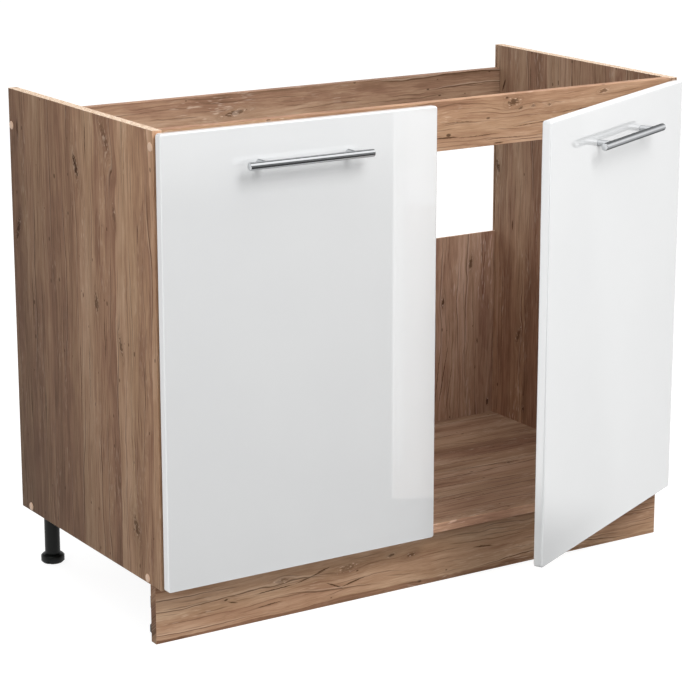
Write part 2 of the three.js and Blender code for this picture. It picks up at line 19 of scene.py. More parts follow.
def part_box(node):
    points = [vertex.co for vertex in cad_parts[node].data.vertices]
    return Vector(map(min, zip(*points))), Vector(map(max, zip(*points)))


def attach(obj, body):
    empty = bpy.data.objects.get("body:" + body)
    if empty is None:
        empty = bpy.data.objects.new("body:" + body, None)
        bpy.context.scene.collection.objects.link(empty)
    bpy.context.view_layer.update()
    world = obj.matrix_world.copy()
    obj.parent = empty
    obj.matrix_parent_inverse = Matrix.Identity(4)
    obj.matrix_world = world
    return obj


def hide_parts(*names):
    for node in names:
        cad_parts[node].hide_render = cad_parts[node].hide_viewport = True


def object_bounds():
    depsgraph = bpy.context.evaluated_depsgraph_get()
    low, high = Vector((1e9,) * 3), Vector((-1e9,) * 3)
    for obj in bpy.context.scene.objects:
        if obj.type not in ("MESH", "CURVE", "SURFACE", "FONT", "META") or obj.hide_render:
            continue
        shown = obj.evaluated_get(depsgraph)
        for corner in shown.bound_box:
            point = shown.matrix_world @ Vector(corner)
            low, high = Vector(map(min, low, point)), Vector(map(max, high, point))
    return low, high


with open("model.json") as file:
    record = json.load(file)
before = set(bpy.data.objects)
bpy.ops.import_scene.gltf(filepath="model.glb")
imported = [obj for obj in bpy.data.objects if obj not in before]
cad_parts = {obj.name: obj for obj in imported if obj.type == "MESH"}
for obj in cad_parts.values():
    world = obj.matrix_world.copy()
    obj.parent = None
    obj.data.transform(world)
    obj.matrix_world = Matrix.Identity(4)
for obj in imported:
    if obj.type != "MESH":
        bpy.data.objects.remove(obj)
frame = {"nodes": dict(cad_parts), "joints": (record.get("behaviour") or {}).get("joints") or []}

CAD_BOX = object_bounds()
MM = 0.001
UP = Vector((0, 0, 1))
FRONT = Vector((0, -1, 0))
LOG = logging.getLogger("sink_base_cabinet")

Colour = tuple[float, float, float, float]
Number = "Term | float"


def linear(code: str, brightness: float = 1.0) -> Colour:
    """Turns a colour as it is written on screens into light.

    Args:
        code: Six hexadecimal digits.
        brightness: A factor on the light.

    Returns:
        Red, green, blue and alpha.
    """
    shown = [int(code[i:i + 2], 16) / 255 for i in (0, 2, 4)]
    light = [c / 12.92 if c <= 0.04045 else ((c + 0.055) / 1.055) ** 2.4 for c in shown]
    return (*(brightness * c for c in light), 1.0)


def grey(level: float) -> Colour:
    """A neutral colour of that much light."""
    return (level, level, level, 1.0)


# ---------------------------------------------------------------------------------------------
# Shader sums
# ---------------------------------------------------------------------------------------------


class Term:
    """A value on its way through a material, which takes part in sums."""

    def __init__(self, graph: "Graph", socket: bpy.types.NodeSocket) -> None:
        """Wraps an output socket of one of the graph's nodes."""
        self.graph = graph
        self.socket = socket

    def __add__(self, other: Number) -> "Term":
        """The sum."""
        return self.graph.math("ADD", self, other)

    def __sub__(self, other: Number) -> "Term":
        """The difference."""
        return self.graph.math("SUBTRACT", self, other)

    def __rsub__(self, other: float) -> "Term":
        """The difference, from a number."""
        return self.graph.math("SUBTRACT", other, self)

    def __mul__(self, other: Number) -> "Term":
        """The product."""
        return self.graph.math("MULTIPLY", self, other)

    def __truediv__(self, other: Number) -> "Term":
        """The quotient."""
        return self.graph.math("DIVIDE", self, other)

    def __neg__(self) -> "Term":
        """The opposite."""
        return self.graph.math("MULTIPLY", self, -1.0)

    def __abs__(self) -> "Term":
        """The size without its sign."""
        return self.graph.math("ABSOLUTE", self)

    __radd__ = __add__
    __rmul__ = __mul__


class Graph:
    """The nodes of one material or world."""

    def __init__(self, tree: bpy.types.NodeTree) -> None:
        """Starts from an empty tree."""
        self.tree = tree
        tree.nodes.clear()

    def node(self, kind: str, settings: dict | None = None, sockets: dict | None = None) -> bpy.types.Node:
        """Adds a node.

        Args:
            kind: Its type, such as ShaderNodeTexNoise.
            settings: Its settings. "stops" are a ramp's, as pairs of place and colour.
            sockets: Values or terms for its inputs, by name or by number.

        Returns:
            The node.
        """
        made = self.tree.nodes.new(kind)
        for name, value in (settings or {}).items():
            if name == "stops":
                self._set_stops(made.color_ramp, value)
            else:
                setattr(made, name, value)
        for key, value in (sockets or {}).items():
            self.feed(made.inputs[key], value)
        return made

    def feed(self, socket: bpy.types.NodeSocket, value: object) -> None:
        """Links a term to an input, or sets the input to a value.

        Args:
            socket: The input.
            value: The term or the value.
        """
        if isinstance(value, Term):
            self.tree.links.new(value.socket, socket)
        else:
            socket.default_value = value

    def term(self, kind: str, settings: dict | None = None, sockets: dict | None = None,
             output: str | int = 0) -> Term:
        """Adds a node and takes one of its outputs."""
        return Term(self, self.node(kind, settings, sockets).outputs[output])

    @staticmethod
    def _set_stops(ramp: bpy.types.ColorRamp, stops: list[tuple[float, Colour]]) -> None:
        """Gives a ramp its stops.

        Args:
            ramp: The ramp, which starts with two.
            stops: The place and the colour of each.
        """
        while len(ramp.elements) < len(stops):
            ramp.elements.new(1.0)
        for element, (place, colour) in zip(ramp.elements, stops):
            element.position = place
            element.color = colour

    def math(self, operation: str, *values: Number) -> Term:
        """One Math node."""
        return self.term("ShaderNodeMath", {"operation": operation}, dict(enumerate(values)))

    def mix(self, factor: Number, first: "Term | Colour", second: "Term | Colour",
            blend: str = "MIX") -> Term:
        """Mixes two colours."""
        settings = {"data_type": "RGBA", "blend_type": blend}
        return self.term("ShaderNodeMix", settings, {0: factor, 6: first, 7: second}, 2)

    def rise(self, value: Number, low: float, high: float) -> Term:
        """Goes smoothly from 0 at low to 1 at high."""
        sockets = {"Value": value, "From Min": low, "From Max": high}
        return self.term("ShaderNodeMapRange", {"interpolation_type": "SMOOTHSTEP"}, sockets)

    def fall(self, value: Number, low: float, high: float) -> Term:
        """Goes smoothly from 1 at low to 0 at high."""
        sockets = {"Value": value, "From Min": low, "From Max": high, "To Min": 1.0, "To Max": 0.0}
        return self.term("ShaderNodeMapRange", {"interpolation_type": "SMOOTHSTEP"}, sockets)

    def vector(self, x: Number, y: Number, z: Number = 0.0) -> Term:
        """Three numbers as one vector."""
        return self.term("ShaderNodeCombineXYZ", sockets={"X": x, "Y": y, "Z": z})

    def place(self) -> list[Term]:
        """X, Y and Z of the point on the piece, in metres."""
        spot = self.term("ShaderNodeTexCoord", output="Object")
        parts = self.node("ShaderNodeSeparateXYZ", sockets={"Vector": spot})
        return [Term(self, parts.outputs[i]) for i in range(3)]

    def channels(self, colour: Term) -> list[Term]:
        """Red, green and blue of a colour."""
        parts = self.node("ShaderNodeSeparateColor", sockets={"Color": colour})
        return [Term(self, parts.outputs[i]) for i in range(3)]

    def noise(self, vector: Term, detail: float = 2.0, roughness: float = 0.5,
              scale: float = 1.0) -> Term:
        """Cloudy noise between 0 and 1."""
        sockets = {"Vector": vector, "Scale": scale, "Detail": detail, "Roughness": roughness}
        return self.term("ShaderNodeTexNoise", sockets=sockets)

    def bump(self, height: Term, depth: float, strength: float = 1.0) -> Term:
        """A normal from a height between 0 and 1 that stands for that depth."""
        sockets = {"Height": height, "Distance": depth, "Strength": strength}
        return self.term("ShaderNodeBump", sockets=sockets)

    def surface(self, sockets: dict) -> None:
        """Ends a material in a Principled BSDF."""
        shader = self.term("ShaderNodeBsdfPrincipled", sockets=sockets)
        self.node("ShaderNodeOutputMaterial", sockets={"Surface": shader})


# ---------------------------------------------------------------------------------------------
# Finishes
# ---------------------------------------------------------------------------------------------


@dataclass(frozen=True)
class Finish(ABC):
    """What a piece's surface is made of. The slot is the record's name for it."""

    name: str
    slot: str

    def material(self) -> bpy.types.Material:
        """The finish as a material, made once.

        Returns:
            The material.
        """
        found = bpy.data.materials.get(self.name)
        if found:
            return found
        made = bpy.data.materials.new(self.name)
        made.use_nodes = True
        self.dress(Graph(made.node_tree))
        return made

    @abstractmethod
    def dress(self, graph: Graph) -> None:
        """Adds the finish's nodes."""


class Grain(Enum):
    """Which way a board's grain runs: the axes along the grain, across it and through the board."""

    UPRIGHT_SIDE = (2, 1, 0)
    UPRIGHT_BACK = (2, 0, 1)
    LEVEL_FRONT = (0, 2, 1)
    LEVEL_FLOOR = (0, 1, 2)


@dataclass(frozen=True)
class Knot:
    """A knot in the print: its centre and half size, along the grain and across it, and how it leans."""

    along: float
    across: float
    length: float
    width: float
    darkness: float = 0.8
    lean: float = 0.15


@dataclass(frozen=True)
class Crack:
    """A dark split in the print: its centre, half length and half width, and how it leans."""

    along: float
    across: float
    length: float
    width: float = 1.2 * MM
    lean: float = 0.0


@dataclass(frozen=True)
class RawEdge:
    """A cut edge that shows bare chipboard: the axis it looks along, its place there and which way."""

    axis: int
    place: float
    facing: int


@dataclass(frozen=True)
class BandedEdge(RawEdge):
    """An edge with its own strip of the print, and how light that is painted beside the face."""

    # Partly the strip's own tone and partly painted light and shade: edges facing the light lighter, lower
    # edges and ends darker.
    tone: float = 1.0


@dataclass(frozen=True)
class Streaks:
    """Noise drawn out along the grain, by how often it changes per metre along it and across it.

    The variant sets noises of the same board apart.
    """

    along: float
    across: float
    variant: float = 0.0
    detail: float = 2.0
    roughness: float = 0.5

    def on(self, g: Graph, along: Term, across: Term, seed: float) -> Term:
        """The noise at a place on the board with that seed, between 0 and 1."""
        spot = g.vector(along * self.along, across * self.across, seed + self.variant)
        return g.noise(spot, self.detail, self.roughness)


@dataclass(frozen=True)
class OakDecor(Finish):
    """Craft oak print on chipboard, with strips, growth rings, fibres, pores, splits and knots.

    Places across the grain are given on the face at shown_at, and the print slants through the board
    from there. The shade is painted shade: how much lighter the print is painted per metre along the
    grain and across it where more light falls, and it changes nothing at the middle. The cast is a
    factor on the print's red, green and blue.
    """

    FIBRES: ClassVar[Streaks] = Streaks(24, 480, detail=3.0, roughness=0.7)
    PORES: ClassVar[Streaks] = Streaks(60, 900)
    CROWDS: ClassVar[Streaks] = Streaks(6, 25, variant=6, detail=1.0)
    FLECKS: ClassVar[Streaks] = Streaks(48, 430, variant=5, detail=1.0)
    PATCHES: ClassVar[Streaks] = Streaks(8, 42, variant=1, roughness=0.6)
    STREAKS: ClassVar[Streaks] = Streaks(3, 150, roughness=0.6)
    HUES: ClassVar[Streaks] = Streaks(1.3, 24, variant=3, detail=1.0)
    WANDER: ClassVar[Streaks] = Streaks(1.5, 5)
    RIPPLE: ClassVar[Streaks] = Streaks(10, 24, variant=8)
    SHIVER: ClassVar[Streaks] = Streaks(55, 120, variant=9, detail=1.0)
    ROUGHNESS: ClassVar[Streaks] = Streaks(160, 420)

    DARK: ClassVar[str] = "472d1c"
    PALE: ClassVar[str] = "e2c7b0"
    GROUND: ClassVar[dict[float, str]] = {
        0.05: "755640", 0.32: "97725b", 0.52: "b08c70", 0.7: "c19f84", 0.95: "d8ba9e",
    }
    CHIPS: ClassVar[dict[float, str]] = {0.0: "b08d72", 0.25: "d6b89c", 0.7: "ead3bc", 1.0: "f6e8d8"}
    GAPS: ClassVar[str] = "7a5236"

    slot: str = "oak_decor"
    grain: Grain = Grain.UPRIGHT_SIDE
    shown_at: float = 0.0
    seed: float = 0.0
    tone: float = 1.0
    knots: tuple[Knot, ...] = ()
    cracks: tuple[Crack, ...] = ()
    raw_edges: tuple[RawEdge, ...] = ()
    bands: tuple[BandedEdge, ...] = ()
    # Painted shade: how much lighter the print is painted per metre along and across, where more light falls.
    shade: tuple[float, float] = (0.0, 0.0)
    cast: tuple[float, float, float] = (1.0, 1.0, 1.0)
    strip_width: float = 64 * MM
    edge_slant: float = 0.8
    raw_depth: float = 0.35 * MM
    knot_parting: float = 0.9
    band_step: float = 0.31
    chips_per_metre: float = 620.0
    gaps_per_metre: float = 900.0
    wander_reach: float = 34 * MM
    ripple_reach: float = 8 * MM
    shiver_reach: float = 2.2 * MM
    thinnest_line: float = 0.3 * MM
    line_growth: float = 0.7 * MM
    rings_per_metre: float = 95.0
    heart_depth: float = 90 * MM
    heart_offset: float = 30 * MM
    log_lean: float = 0.24
    middle: tuple[float, float] = (0.45, 0.1)

    def dress(self, graph: Graph) -> None:
        """Adds the print's nodes, and the bare chipboard of the cut edges.

        Args:
            graph: The material's empty graph.
        """
        g = graph
        place = g.place()
        along, across, through = (place[axis] for axis in self.grain.value)
        # Painted shade: the print is made lighter and darker across the board, and on banded edges, where
        # more or less light falls.
        painted_shading = 1.0 + (along - self.middle[0]) * self.shade[0] + (across - self.middle[1]) * self.shade[1]
        across = across + (through - self.shown_at) * self.edge_slant
        for band in self.bands:
            here = self._on_edge(g, place, band)
            across = across + here * self.band_step
            painted_shading = painted_shading * (1.0 + here * (band.tone - 1.0))
        lane, dark, pale = self._parted(g, along, across)
        fibre = self.FIBRES.on(g, along, lane, self.seed)
        colour = self._ground(g, along, lane, fibre)

        lines, halos = self._hairlines(g, along, lane)
        pores = g.rise(self.PORES.on(g, along, lane, self.seed), 0.6, 0.72)
        crowd = g.rise(self.CROWDS.on(g, along, lane, self.seed), 0.45, 0.7)
        flecks = g.rise(self.FLECKS.on(g, along, lane, self.seed), 0.57, 0.7) * crowd
        shade = g.math("MAXIMUM", g.math("MAXIMUM", dark, lines), pores * 0.2)
        light = g.math("MAXIMUM", g.math("MAXIMUM", pale, halos), flecks * 0.45)
        colour = g.mix(shade, colour, linear(self.DARK, self.tone))
        colour = g.mix(light, colour, linear(self.PALE, self.tone))
        colour = g.mix(1.0, colour, g.vector(*(painted_shading * part for part in self.cast)), "MULTIPLY")
        roughness = 0.5 + (fibre - 0.5) * 0.25 + shade * 0.15
        height = fibre * 0.5 - pores * 0.6 - shade * 0.5

        bare = self._bare(g, place)
        if bare:
            chips, chip_height = self._chipboard(g, place)
            colour = g.mix(bare, colour, chips)
            roughness = roughness + bare * (0.85 - roughness)
            height = height + bare * (chip_height - height)
        g.surface({
            "Base Color": colour, "Roughness": roughness, "Specular IOR Level": 0.07,
            "Normal": g.bump(height, depth=0.25 * MM, strength=0.35),
        })

    def _ground(self, g: Graph, along: Term, lane: Term, fibre: Term) -> Term:
        """The print's colour without its lines and knots.

        Args:
            g: The graph.
            along: The place along the grain.
            lane: The place across the bent grain.
            fibre: The noise of its fibres.

        Returns:
            The colour.
        """
        strips = {"W": lane / self.strip_width, "Scale": 1.0, "Randomness": 0.85}
        strip = g.node("ShaderNodeTexVoronoi", {"voronoi_dimensions": "1D"}, strips)
        tint, slope, depth = g.channels(Term(g, strip.outputs["Color"]))
        rings = self._rings(g, along, lane - Term(g, strip.outputs["W"]) * self.strip_width, slope, depth)
        broad = g.noise(g.vector(along * 0.9, lane * 17, tint * 5), 2.0)
        patch = self.PATCHES.on(g, along, lane, self.seed)
        streak = self.STREAKS.on(g, along, lane, self.seed)
        light = 0.5 + (tint - 0.5) * 0.25 + (broad - 0.5) * 0.8 + (patch - 0.5) * 0.55
        light = light + (streak - 0.5) * 0.38 + (fibre - 0.5) * 0.5 - rings * 0.07
        colour = g.term("ShaderNodeValToRGB", {"stops": self._stops()}, {"Fac": light})
        hue = g.rise(self.HUES.on(g, along, lane, self.seed), 0.3, 0.7)
        cast = g.mix(hue, (1.01, 0.995, 0.995, 1.0), (0.99, 1.01, 0.99, 1.0))
        return g.mix(1.0, colour, cast, "MULTIPLY")

    def _stops(self) -> list[tuple[float, Colour]]:
        """The print's colours from its darkest grain to its lightest."""
        return [(share, linear(code, self.tone)) for share, code in self.GROUND.items()]

    def _hairlines(self, g: Graph, along: Term, lane: Term) -> tuple[Term, Term]:
        """Long thin dark lines with a pale side, short ones and small pits.

        Args:
            g: The graph.
            along: The place along the grain.
            lane: The place across the bent grain.

        Returns:
            How dark and how pale they make the print.
        """
        long_line, halo = self._lines(g, along, lane, spacing=21 * MM, pace=2.6)
        short_line, _ = self._lines(g, along, lane, spacing=7 * MM, pace=9.0)
        lines = g.math("MAXIMUM", long_line * 0.68, short_line * 0.42)
        cells = {"Vector": g.vector(along * 17, lane * 34), "Scale": 1.0, "Randomness": 1.0}
        pits = g.node("ShaderNodeTexVoronoi", {"voronoi_dimensions": "2D"}, cells)
        there, wide, _ = g.channels(Term(g, pits.outputs["Color"]))
        reach = Term(g, pits.outputs["Distance"]) / (0.03 + wide * 0.06)
        pit = g.fall(reach, 0.5, 1.0) * g.math("GREATER_THAN", there, 0.8)
        return g.math("MAXIMUM", lines, pit * 0.7), halo * 0.3

    def _lines(self, g: Graph, along: Term, lane: Term, spacing: float, pace: float) -> tuple[Term, Term]:
        """Lines along the grain that come and go and get wider, each with a pale side.

        Args:
            g: The graph.
            along: The place along the grain.
            lane: The place across the bent grain.
            spacing: How far apart they lie.
            pace: How often one changes per metre.

        Returns:
            How dark they make the print, and how pale.
        """
        bend = Streaks(pace, 9, variant=spacing).on(g, along, lane, self.seed)
        course = lane / spacing + bend * 2.4
        number = g.math("FLOOR", course)
        beside = g.math("FRACT", course) - 0.5
        there = g.rise(g.noise(g.vector(along * pace, number * 3.7, self.seed), 1.0), 0.48, 0.62)
        width = self.thinnest_line / spacing + there * (self.line_growth / spacing)
        line = g.fall(abs(beside) / width, 0.3, 1.3) * there
        return line, g.fall(abs(beside / width - 2.0), 0.2, 1.2) * there

    def _parted(self, g: Graph, along: Term, across: Term) -> tuple[Term, Term, Term]:
        """Bends the grain round each knot.

        Args:
            g: The graph.
            along: The place along the grain.
            across: The place across it.

        Returns:
            The place across the bent grain, how dark knots and splits make it, and how pale.
        """
        wander, ripple, shiver, rough = (
            streaks.on(g, along, across, self.seed) - 0.5
            for streaks in (self.WANDER, self.RIPPLE, self.SHIVER, self.ROUGHNESS)
        )
        lane = across + self.seed * 0.37 + wander * self.wander_reach
        lane = lane + ripple * self.ripple_reach + shiver * self.shiver_reach
        dark, pale = 0.0, 0.0
        for knot in self.knots:
            off_along = (along - knot.along) / knot.length
            off_across = (across - knot.across - (along - knot.along) * knot.lean) / knot.width
            apart = off_along * off_along + off_across * off_across
            near = g.math("EXPONENT", -apart)
            lane = lane - (across - knot.across) * near * self.knot_parting
            heart = g.fall(apart * 4 + rough * 3.2, 0.2, 1.0) * knot.darkness
            coils = g.rise(g.math("FRACT", apart * 1.5 + rough * 0.7), 0.55, 0.9) * near
            stain = g.math("MAXIMUM", coils * 0.5, near * 0.3) * knot.darkness
            dark = g.math("MAXIMUM", dark, g.math("MAXIMUM", heart, stain))
            pale = g.math("MAXIMUM", pale, g.rise(rough, 0.1, 0.2) * g.rise(near, 0.45, 0.8) * 0.7)
        for crack in self.cracks:
            off_along = (along - crack.along) / crack.length
            drawn = across - (along - crack.along) * crack.lean + ripple * (5 * MM) + rough * (2 * MM)
            off_across = (drawn - crack.across) / crack.width
            apart = off_along * off_along + off_across * off_across
            dark = g.math("MAXIMUM", dark, g.fall(apart, 0.2, 1.0) * 0.85)
        return lane, dark, pale

    def _rings(self, g: Graph, along: Term, off_middle: Term, slope: Term, depth: Term) -> Term:
        """Dark late wood where the saw ran through the growth rings, arched within a strip.

        Args:
            g: The graph.
            along: The place along the grain.
            off_middle: The distance from the strip's middle.
            slope: A number between 0 and 1 that sets how the log leans.
            depth: Another, that sets how deep its heart lies.

        Returns:
            1 on late wood and 0 between.
        """
        below = (depth - 0.5) * self.heart_depth + along * (slope - 0.5) * self.log_lean
        centred = off_middle + (slope - 0.5) * self.heart_offset
        radius = g.math("SQRT", centred * centred + below * below)
        ripple = Streaks(5, 40).on(g, along, off_middle, self.seed)
        ring = g.math("FRACT", radius * self.rings_per_metre + ripple * 2.2)
        return g.rise(ring, 0.35, 0.9) * g.fall(ring, 0.92, 1.0)

    def _bare(self, g: Graph, place: list[Term]) -> Term | None:
        """Finds the cut edges that show chipboard.

        Args:
            g: The graph.
            place: X, Y and Z of the point on the board.

        Returns:
            1 on them and 0 elsewhere, or None without such edges.
        """
        bare = None
        for edge in self.raw_edges:
            here = self._on_edge(g, place, edge)
            bare = g.math("MAXIMUM", bare, here) if bare else here
        return bare

    def _on_edge(self, g: Graph, place: list[Term], edge: RawEdge) -> Term:
        """1 on an edge of the board and 0 elsewhere."""
        limit = edge.facing * edge.place - self.raw_depth
        return g.math("GREATER_THAN", place[edge.axis] * edge.facing, limit)

    def _chipboard(self, g: Graph, place: list[Term]) -> tuple[Term, Term]:
        """Pressed chips of mixed woods with small gaps.

        Args:
            g: The graph.
            place: X, Y and Z of the point on the board.

        Returns:
            Their colour and height.
        """
        spot = g.vector(*place)
        cells = {"Vector": spot, "Scale": self.chips_per_metre, "Randomness": 1.0}
        chips = g.node("ShaderNodeTexVoronoi", sockets=cells)
        pick, other, _ = g.channels(Term(g, chips.outputs["Color"]))
        stops = [(share, linear(code)) for share, code in self.CHIPS.items()]
        colour = g.term("ShaderNodeValToRGB", {"stops": stops}, {"Fac": pick})
        cloud = g.noise(spot, detail=3.0, roughness=0.7, scale=self.gaps_per_metre)
        gaps = g.rise(cloud, 0.56, 0.7)
        return g.mix(gaps * 0.55, colour, linear(self.GAPS)), other - gaps


@dataclass(frozen=True)
class WhiteGloss(Finish):
    """White lacquer film polished to a mirror, with a faint orange peel."""

    slot: str = "white_gloss"
    coat_ior: float = 2.8

    def dress(self, graph: Graph) -> None:
        """Adds the lacquer's nodes.

        Args:
            graph: The material's empty graph.
        """
        spot = graph.vector(*graph.place())
        cloud = graph.noise(spot, scale=6.0)
        peel = graph.noise(spot, detail=1.0, scale=130.0)
        graph.surface({
            "Base Color": graph.mix(cloud, linear("eff0f1"), linear("f4f5f5")),
            "Roughness": 0.2 + cloud * 0.06,
            "Coat Weight": 1.0, "Coat Roughness": 0.02, "Coat IOR": self.coat_ior,
            "Normal": graph.bump(peel, depth=0.02 * MM, strength=0.12),
        })


@dataclass(frozen=True)
class Metal(Finish):
    """Plated or bare metal with fine draw lines and a little wear.

    The drawn axis is the one that the lines run along. The rim is how much the metal reflects where
    it is seen edge on.
    """

    code: str = "c8cbce"
    roughness: float = 0.1
    lines: float = 0.04
    drawn_axis: int = 0
    rim: float = 1.0

    def dress(self, graph: Graph) -> None:
        """Adds the metal's nodes.

        Args:
            graph: The material's empty graph.
        """
        place = graph.place()
        scales = [60.0 if axis == self.drawn_axis else 2600.0 for axis in range(3)]
        drawn = graph.noise(graph.vector(*(part * scale for part, scale in zip(place, scales))))
        wear = graph.noise(graph.vector(*place), detail=3.0, roughness=0.6, scale=90.0)
        graph.surface({
            "Base Color": graph.mix(wear, linear(self.code), linear(self.code, 0.86)),
            "Metallic": 1.0, "Specular Tint": grey(self.rim),
            "Roughness": self.roughness + (drawn - 0.5) * self.lines + (wear - 0.5) * self.lines,
            "Normal": graph.bump(drawn, depth=0.01 * MM, strength=min(1.0, self.lines * 4)),
        })


@dataclass(frozen=True)
class Moulded(Finish):
    """Injection-moulded plastic or rubber with a fine spark-eroded grain."""

    code: str = "1c1e1d"
    roughness: float = 0.42
    grain_depth: float = 0.06 * MM
    mottle: float = 0.85
    shine: float = 0.5

    def dress(self, graph: Graph) -> None:
        """Adds the plastic's nodes.

        Args:
            graph: The material's empty graph.
        """
        spot = graph.vector(*graph.place())
        grain = graph.noise(spot, detail=3.0, roughness=0.6, scale=1700.0)
        cloud = graph.noise(spot, scale=45.0)
        graph.surface({
            "Base Color": graph.mix(cloud, linear(self.code), linear(self.code, self.mottle)),
            "Roughness": self.roughness + (grain - 0.5) * 0.2, "Specular IOR Level": self.shine,
            "Normal": graph.bump(grain, self.grain_depth, strength=0.4),
        })


WHITE_GLOSS = WhiteGloss("white_gloss_lacquer")
CHROME = Metal("chrome_plate", "chrome", "dfe1e3", roughness=0.06, lines=0.02, rim=0.02)
NICKEL = Metal("nickel_plated_steel", "nickel_steel", "b9b6af", roughness=0.27, lines=0.16, drawn_axis=1)
ZINC = Metal("zinc_plated_steel", "zinc_steel", "a3a7a9", roughness=0.36, lines=0.2)
BLACK_PLASTIC = Moulded("black_moulding", "black_plastic", "131513", shine=0.22)
BEIGE_PLASTIC = Moulded("beige_moulding", "beige_plastic", "f6cfb0", roughness=0.35, grain_depth=0.03 * MM)
CLEAR_RUBBER = Moulded("soft_clear_rubber", "clear_rubber", "d3d4cf", roughness=0.5, grain_depth=0.03 * MM)


# ---------------------------------------------------------------------------------------------
# Shapes
# ---------------------------------------------------------------------------------------------


class Shape:
    """A closed mesh on its way to becoming a piece."""

    SMALL: ClassVar[float] = 1e-6
    SHARP: ClassVar[float] = math.radians(50)
    FLAT: ClassVar[float] = math.radians(0.3)

    def __init__(self, mesh: bmesh.types.BMesh) -> None:
        """Takes over a bmesh."""
        self.mesh = mesh

    @classmethod
    def block(cls, low: Vector, high: Vector) -> "Shape":
        """A box between two corners.

        Args:
            low: The corner with the lowest X, Y and Z.
            high: The one opposite.

        Returns:
            The box.
        """
        mesh = bmesh.new()
        bmesh.ops.create_cube(mesh, size=1.0)
        bmesh.ops.scale(mesh, vec=high - low, verts=mesh.verts)
        bmesh.ops.translate(mesh, vec=(low + high) / 2, verts=mesh.verts)
        return cls(mesh)

    @classmethod
    def turned(cls, profile: list[tuple[float, float]], steps: int = 64) -> "Shape":
        """A piece turned about Z.

        Args:
            profile: Radius and height of each point, from the axis round to the axis.
            steps: How many faces go round.

        Returns:
            The turned shape.
        """
        mesh = bmesh.new()
        points = [mesh.verts.new((radius, 0, height)) for radius, height in profile]
        edges = [mesh.edges.new(pair) for pair in zip(points, points[1:])]
        bmesh.ops.spin(mesh, geom=points + edges, cent=(0, 0, 0), axis=UP, angle=math.tau,
                       steps=steps, use_merge=True)
        return cls(mesh).merged()

    @classmethod
    def rod(cls, radius: float, start: float, end: float, steps: int = 64) -> "Shape":
        """A round bar along Z."""
        return cls.turned([(0, start), (radius, start), (radius, end), (0, end)], steps)

    @classmethod
    def of_node(cls, name: str) -> "Shape":
        """A merged copy of a CAD node.

        Args:
            name: The node's name.

        Returns:
            The copy.
        """
        mesh = bmesh.new()
        mesh.from_mesh(frame["nodes"][name].data)
        bmesh.ops.remove_doubles(mesh, verts=mesh.verts, dist=2 * cls.SMALL)
        bmesh.ops.dissolve_limit(mesh, angle_limit=cls.FLAT, verts=mesh.verts, edges=mesh.edges)
        return cls(mesh)

    def copy(self) -> "Shape":
        """Another shape just like it."""
        return Shape(self.mesh.copy())

    def merged(self) -> "Shape":
        """Closes seams and poles and turns every face outwards."""
        bmesh.ops.remove_doubles(self.mesh, verts=self.mesh.verts, dist=self.SMALL)
        bmesh.ops.recalc_face_normals(self.mesh, faces=self.mesh.faces)
        return self

    def moved(self, change: Matrix | Vector) -> "Shape":
        """Moves the shape by a vector, or by a matrix that doesn't mirror."""
        matrix = Matrix.Translation(change) if isinstance(change, Vector) else change
        bmesh.ops.transform(self.mesh, matrix=matrix, verts=self.mesh.verts)
        return self

    def aimed(self, direction: Vector) -> "Shape":
        """Turns the shape so that its Z runs that way."""
        return self.moved(UP.rotation_difference(direction).to_matrix().to_4x4())

    @classmethod
    def is_sharp(cls, edge: bmesh.types.BMEdge) -> bool:
        """Whether an edge is a corner rather than part of a round."""
        return edge.calc_face_angle(0.0) > cls.SHARP

    def softened(self, radius: float, segments: int = 3,
                 chosen: Callable[[bmesh.types.BMEdge], bool] | None = None) -> "Shape":
        """Rounds edges.

        Args:
            radius: How far the rounding reaches.
            segments: How many faces it has.
            chosen: Says which edges, and otherwise every sharp one is rounded.

        Returns:
            The shape.
        """
        edges = [edge for edge in self.mesh.edges if (chosen or self.is_sharp)(edge)]
        bmesh.ops.bevel(self.mesh, geom=edges, offset=radius, segments=segments, profile=0.5,
                        affect="EDGES", material=-1, clamp_overlap=True)
        return self

    def fused(self, *others: "Shape") -> "Shape":
        """Makes one closed shape of this one and others that it touches."""
        return self._combined("UNION", others)

    def carved(self, *tools: "Shape") -> "Shape":
        """Cuts other shapes out of this one."""
        return self._combined("DIFFERENCE", tools)

    def kept_within(self, tool: "Shape") -> "Shape":
        """Keeps what this shape and another share."""
        return self._combined("INTERSECT", (tool,))

    def joined(self, *others: "Shape") -> "Shape":
        """Puts shapes together in one mesh, each closed by itself.

        Args:
            others: The shapes that come in. They stay as they are.

        Returns:
            The shape.
        """
        for other in others:
            held = bpy.data.meshes.new("held")
            other.mesh.to_mesh(held)
            self.mesh.from_mesh(held)
            bpy.data.meshes.remove(held)
        return self

    def _combined(self, operation: str, tools: tuple["Shape", ...]) -> "Shape":
        """Runs one exact Boolean with all the tools together.

        Args:
            operation: DIFFERENCE, INTERSECT or UNION.
            tools: The other shapes.

        Returns:
            The shape.
        """
        base, tool = (bpy.data.objects.new(name, bpy.data.meshes.new(name)) for name in ("base", "tool"))
        self.mesh.to_mesh(base.data)
        Shape(bmesh.new()).joined(*tools).mesh.to_mesh(tool.data)
        for held in (base, tool):
            bpy.context.scene.collection.objects.link(held)
        knife = base.modifiers.new("knife", "BOOLEAN")
        knife.operation = operation
        knife.solver = "EXACT"
        knife.object = tool
        cut = base.evaluated_get(bpy.context.evaluated_depsgraph_get()).to_mesh()
        self.mesh.clear()
        self.mesh.from_mesh(cut)
        for held in (base, tool):
            data = held.data
            bpy.data.objects.remove(held)
            bpy.data.meshes.remove(data)
        return self.merged()

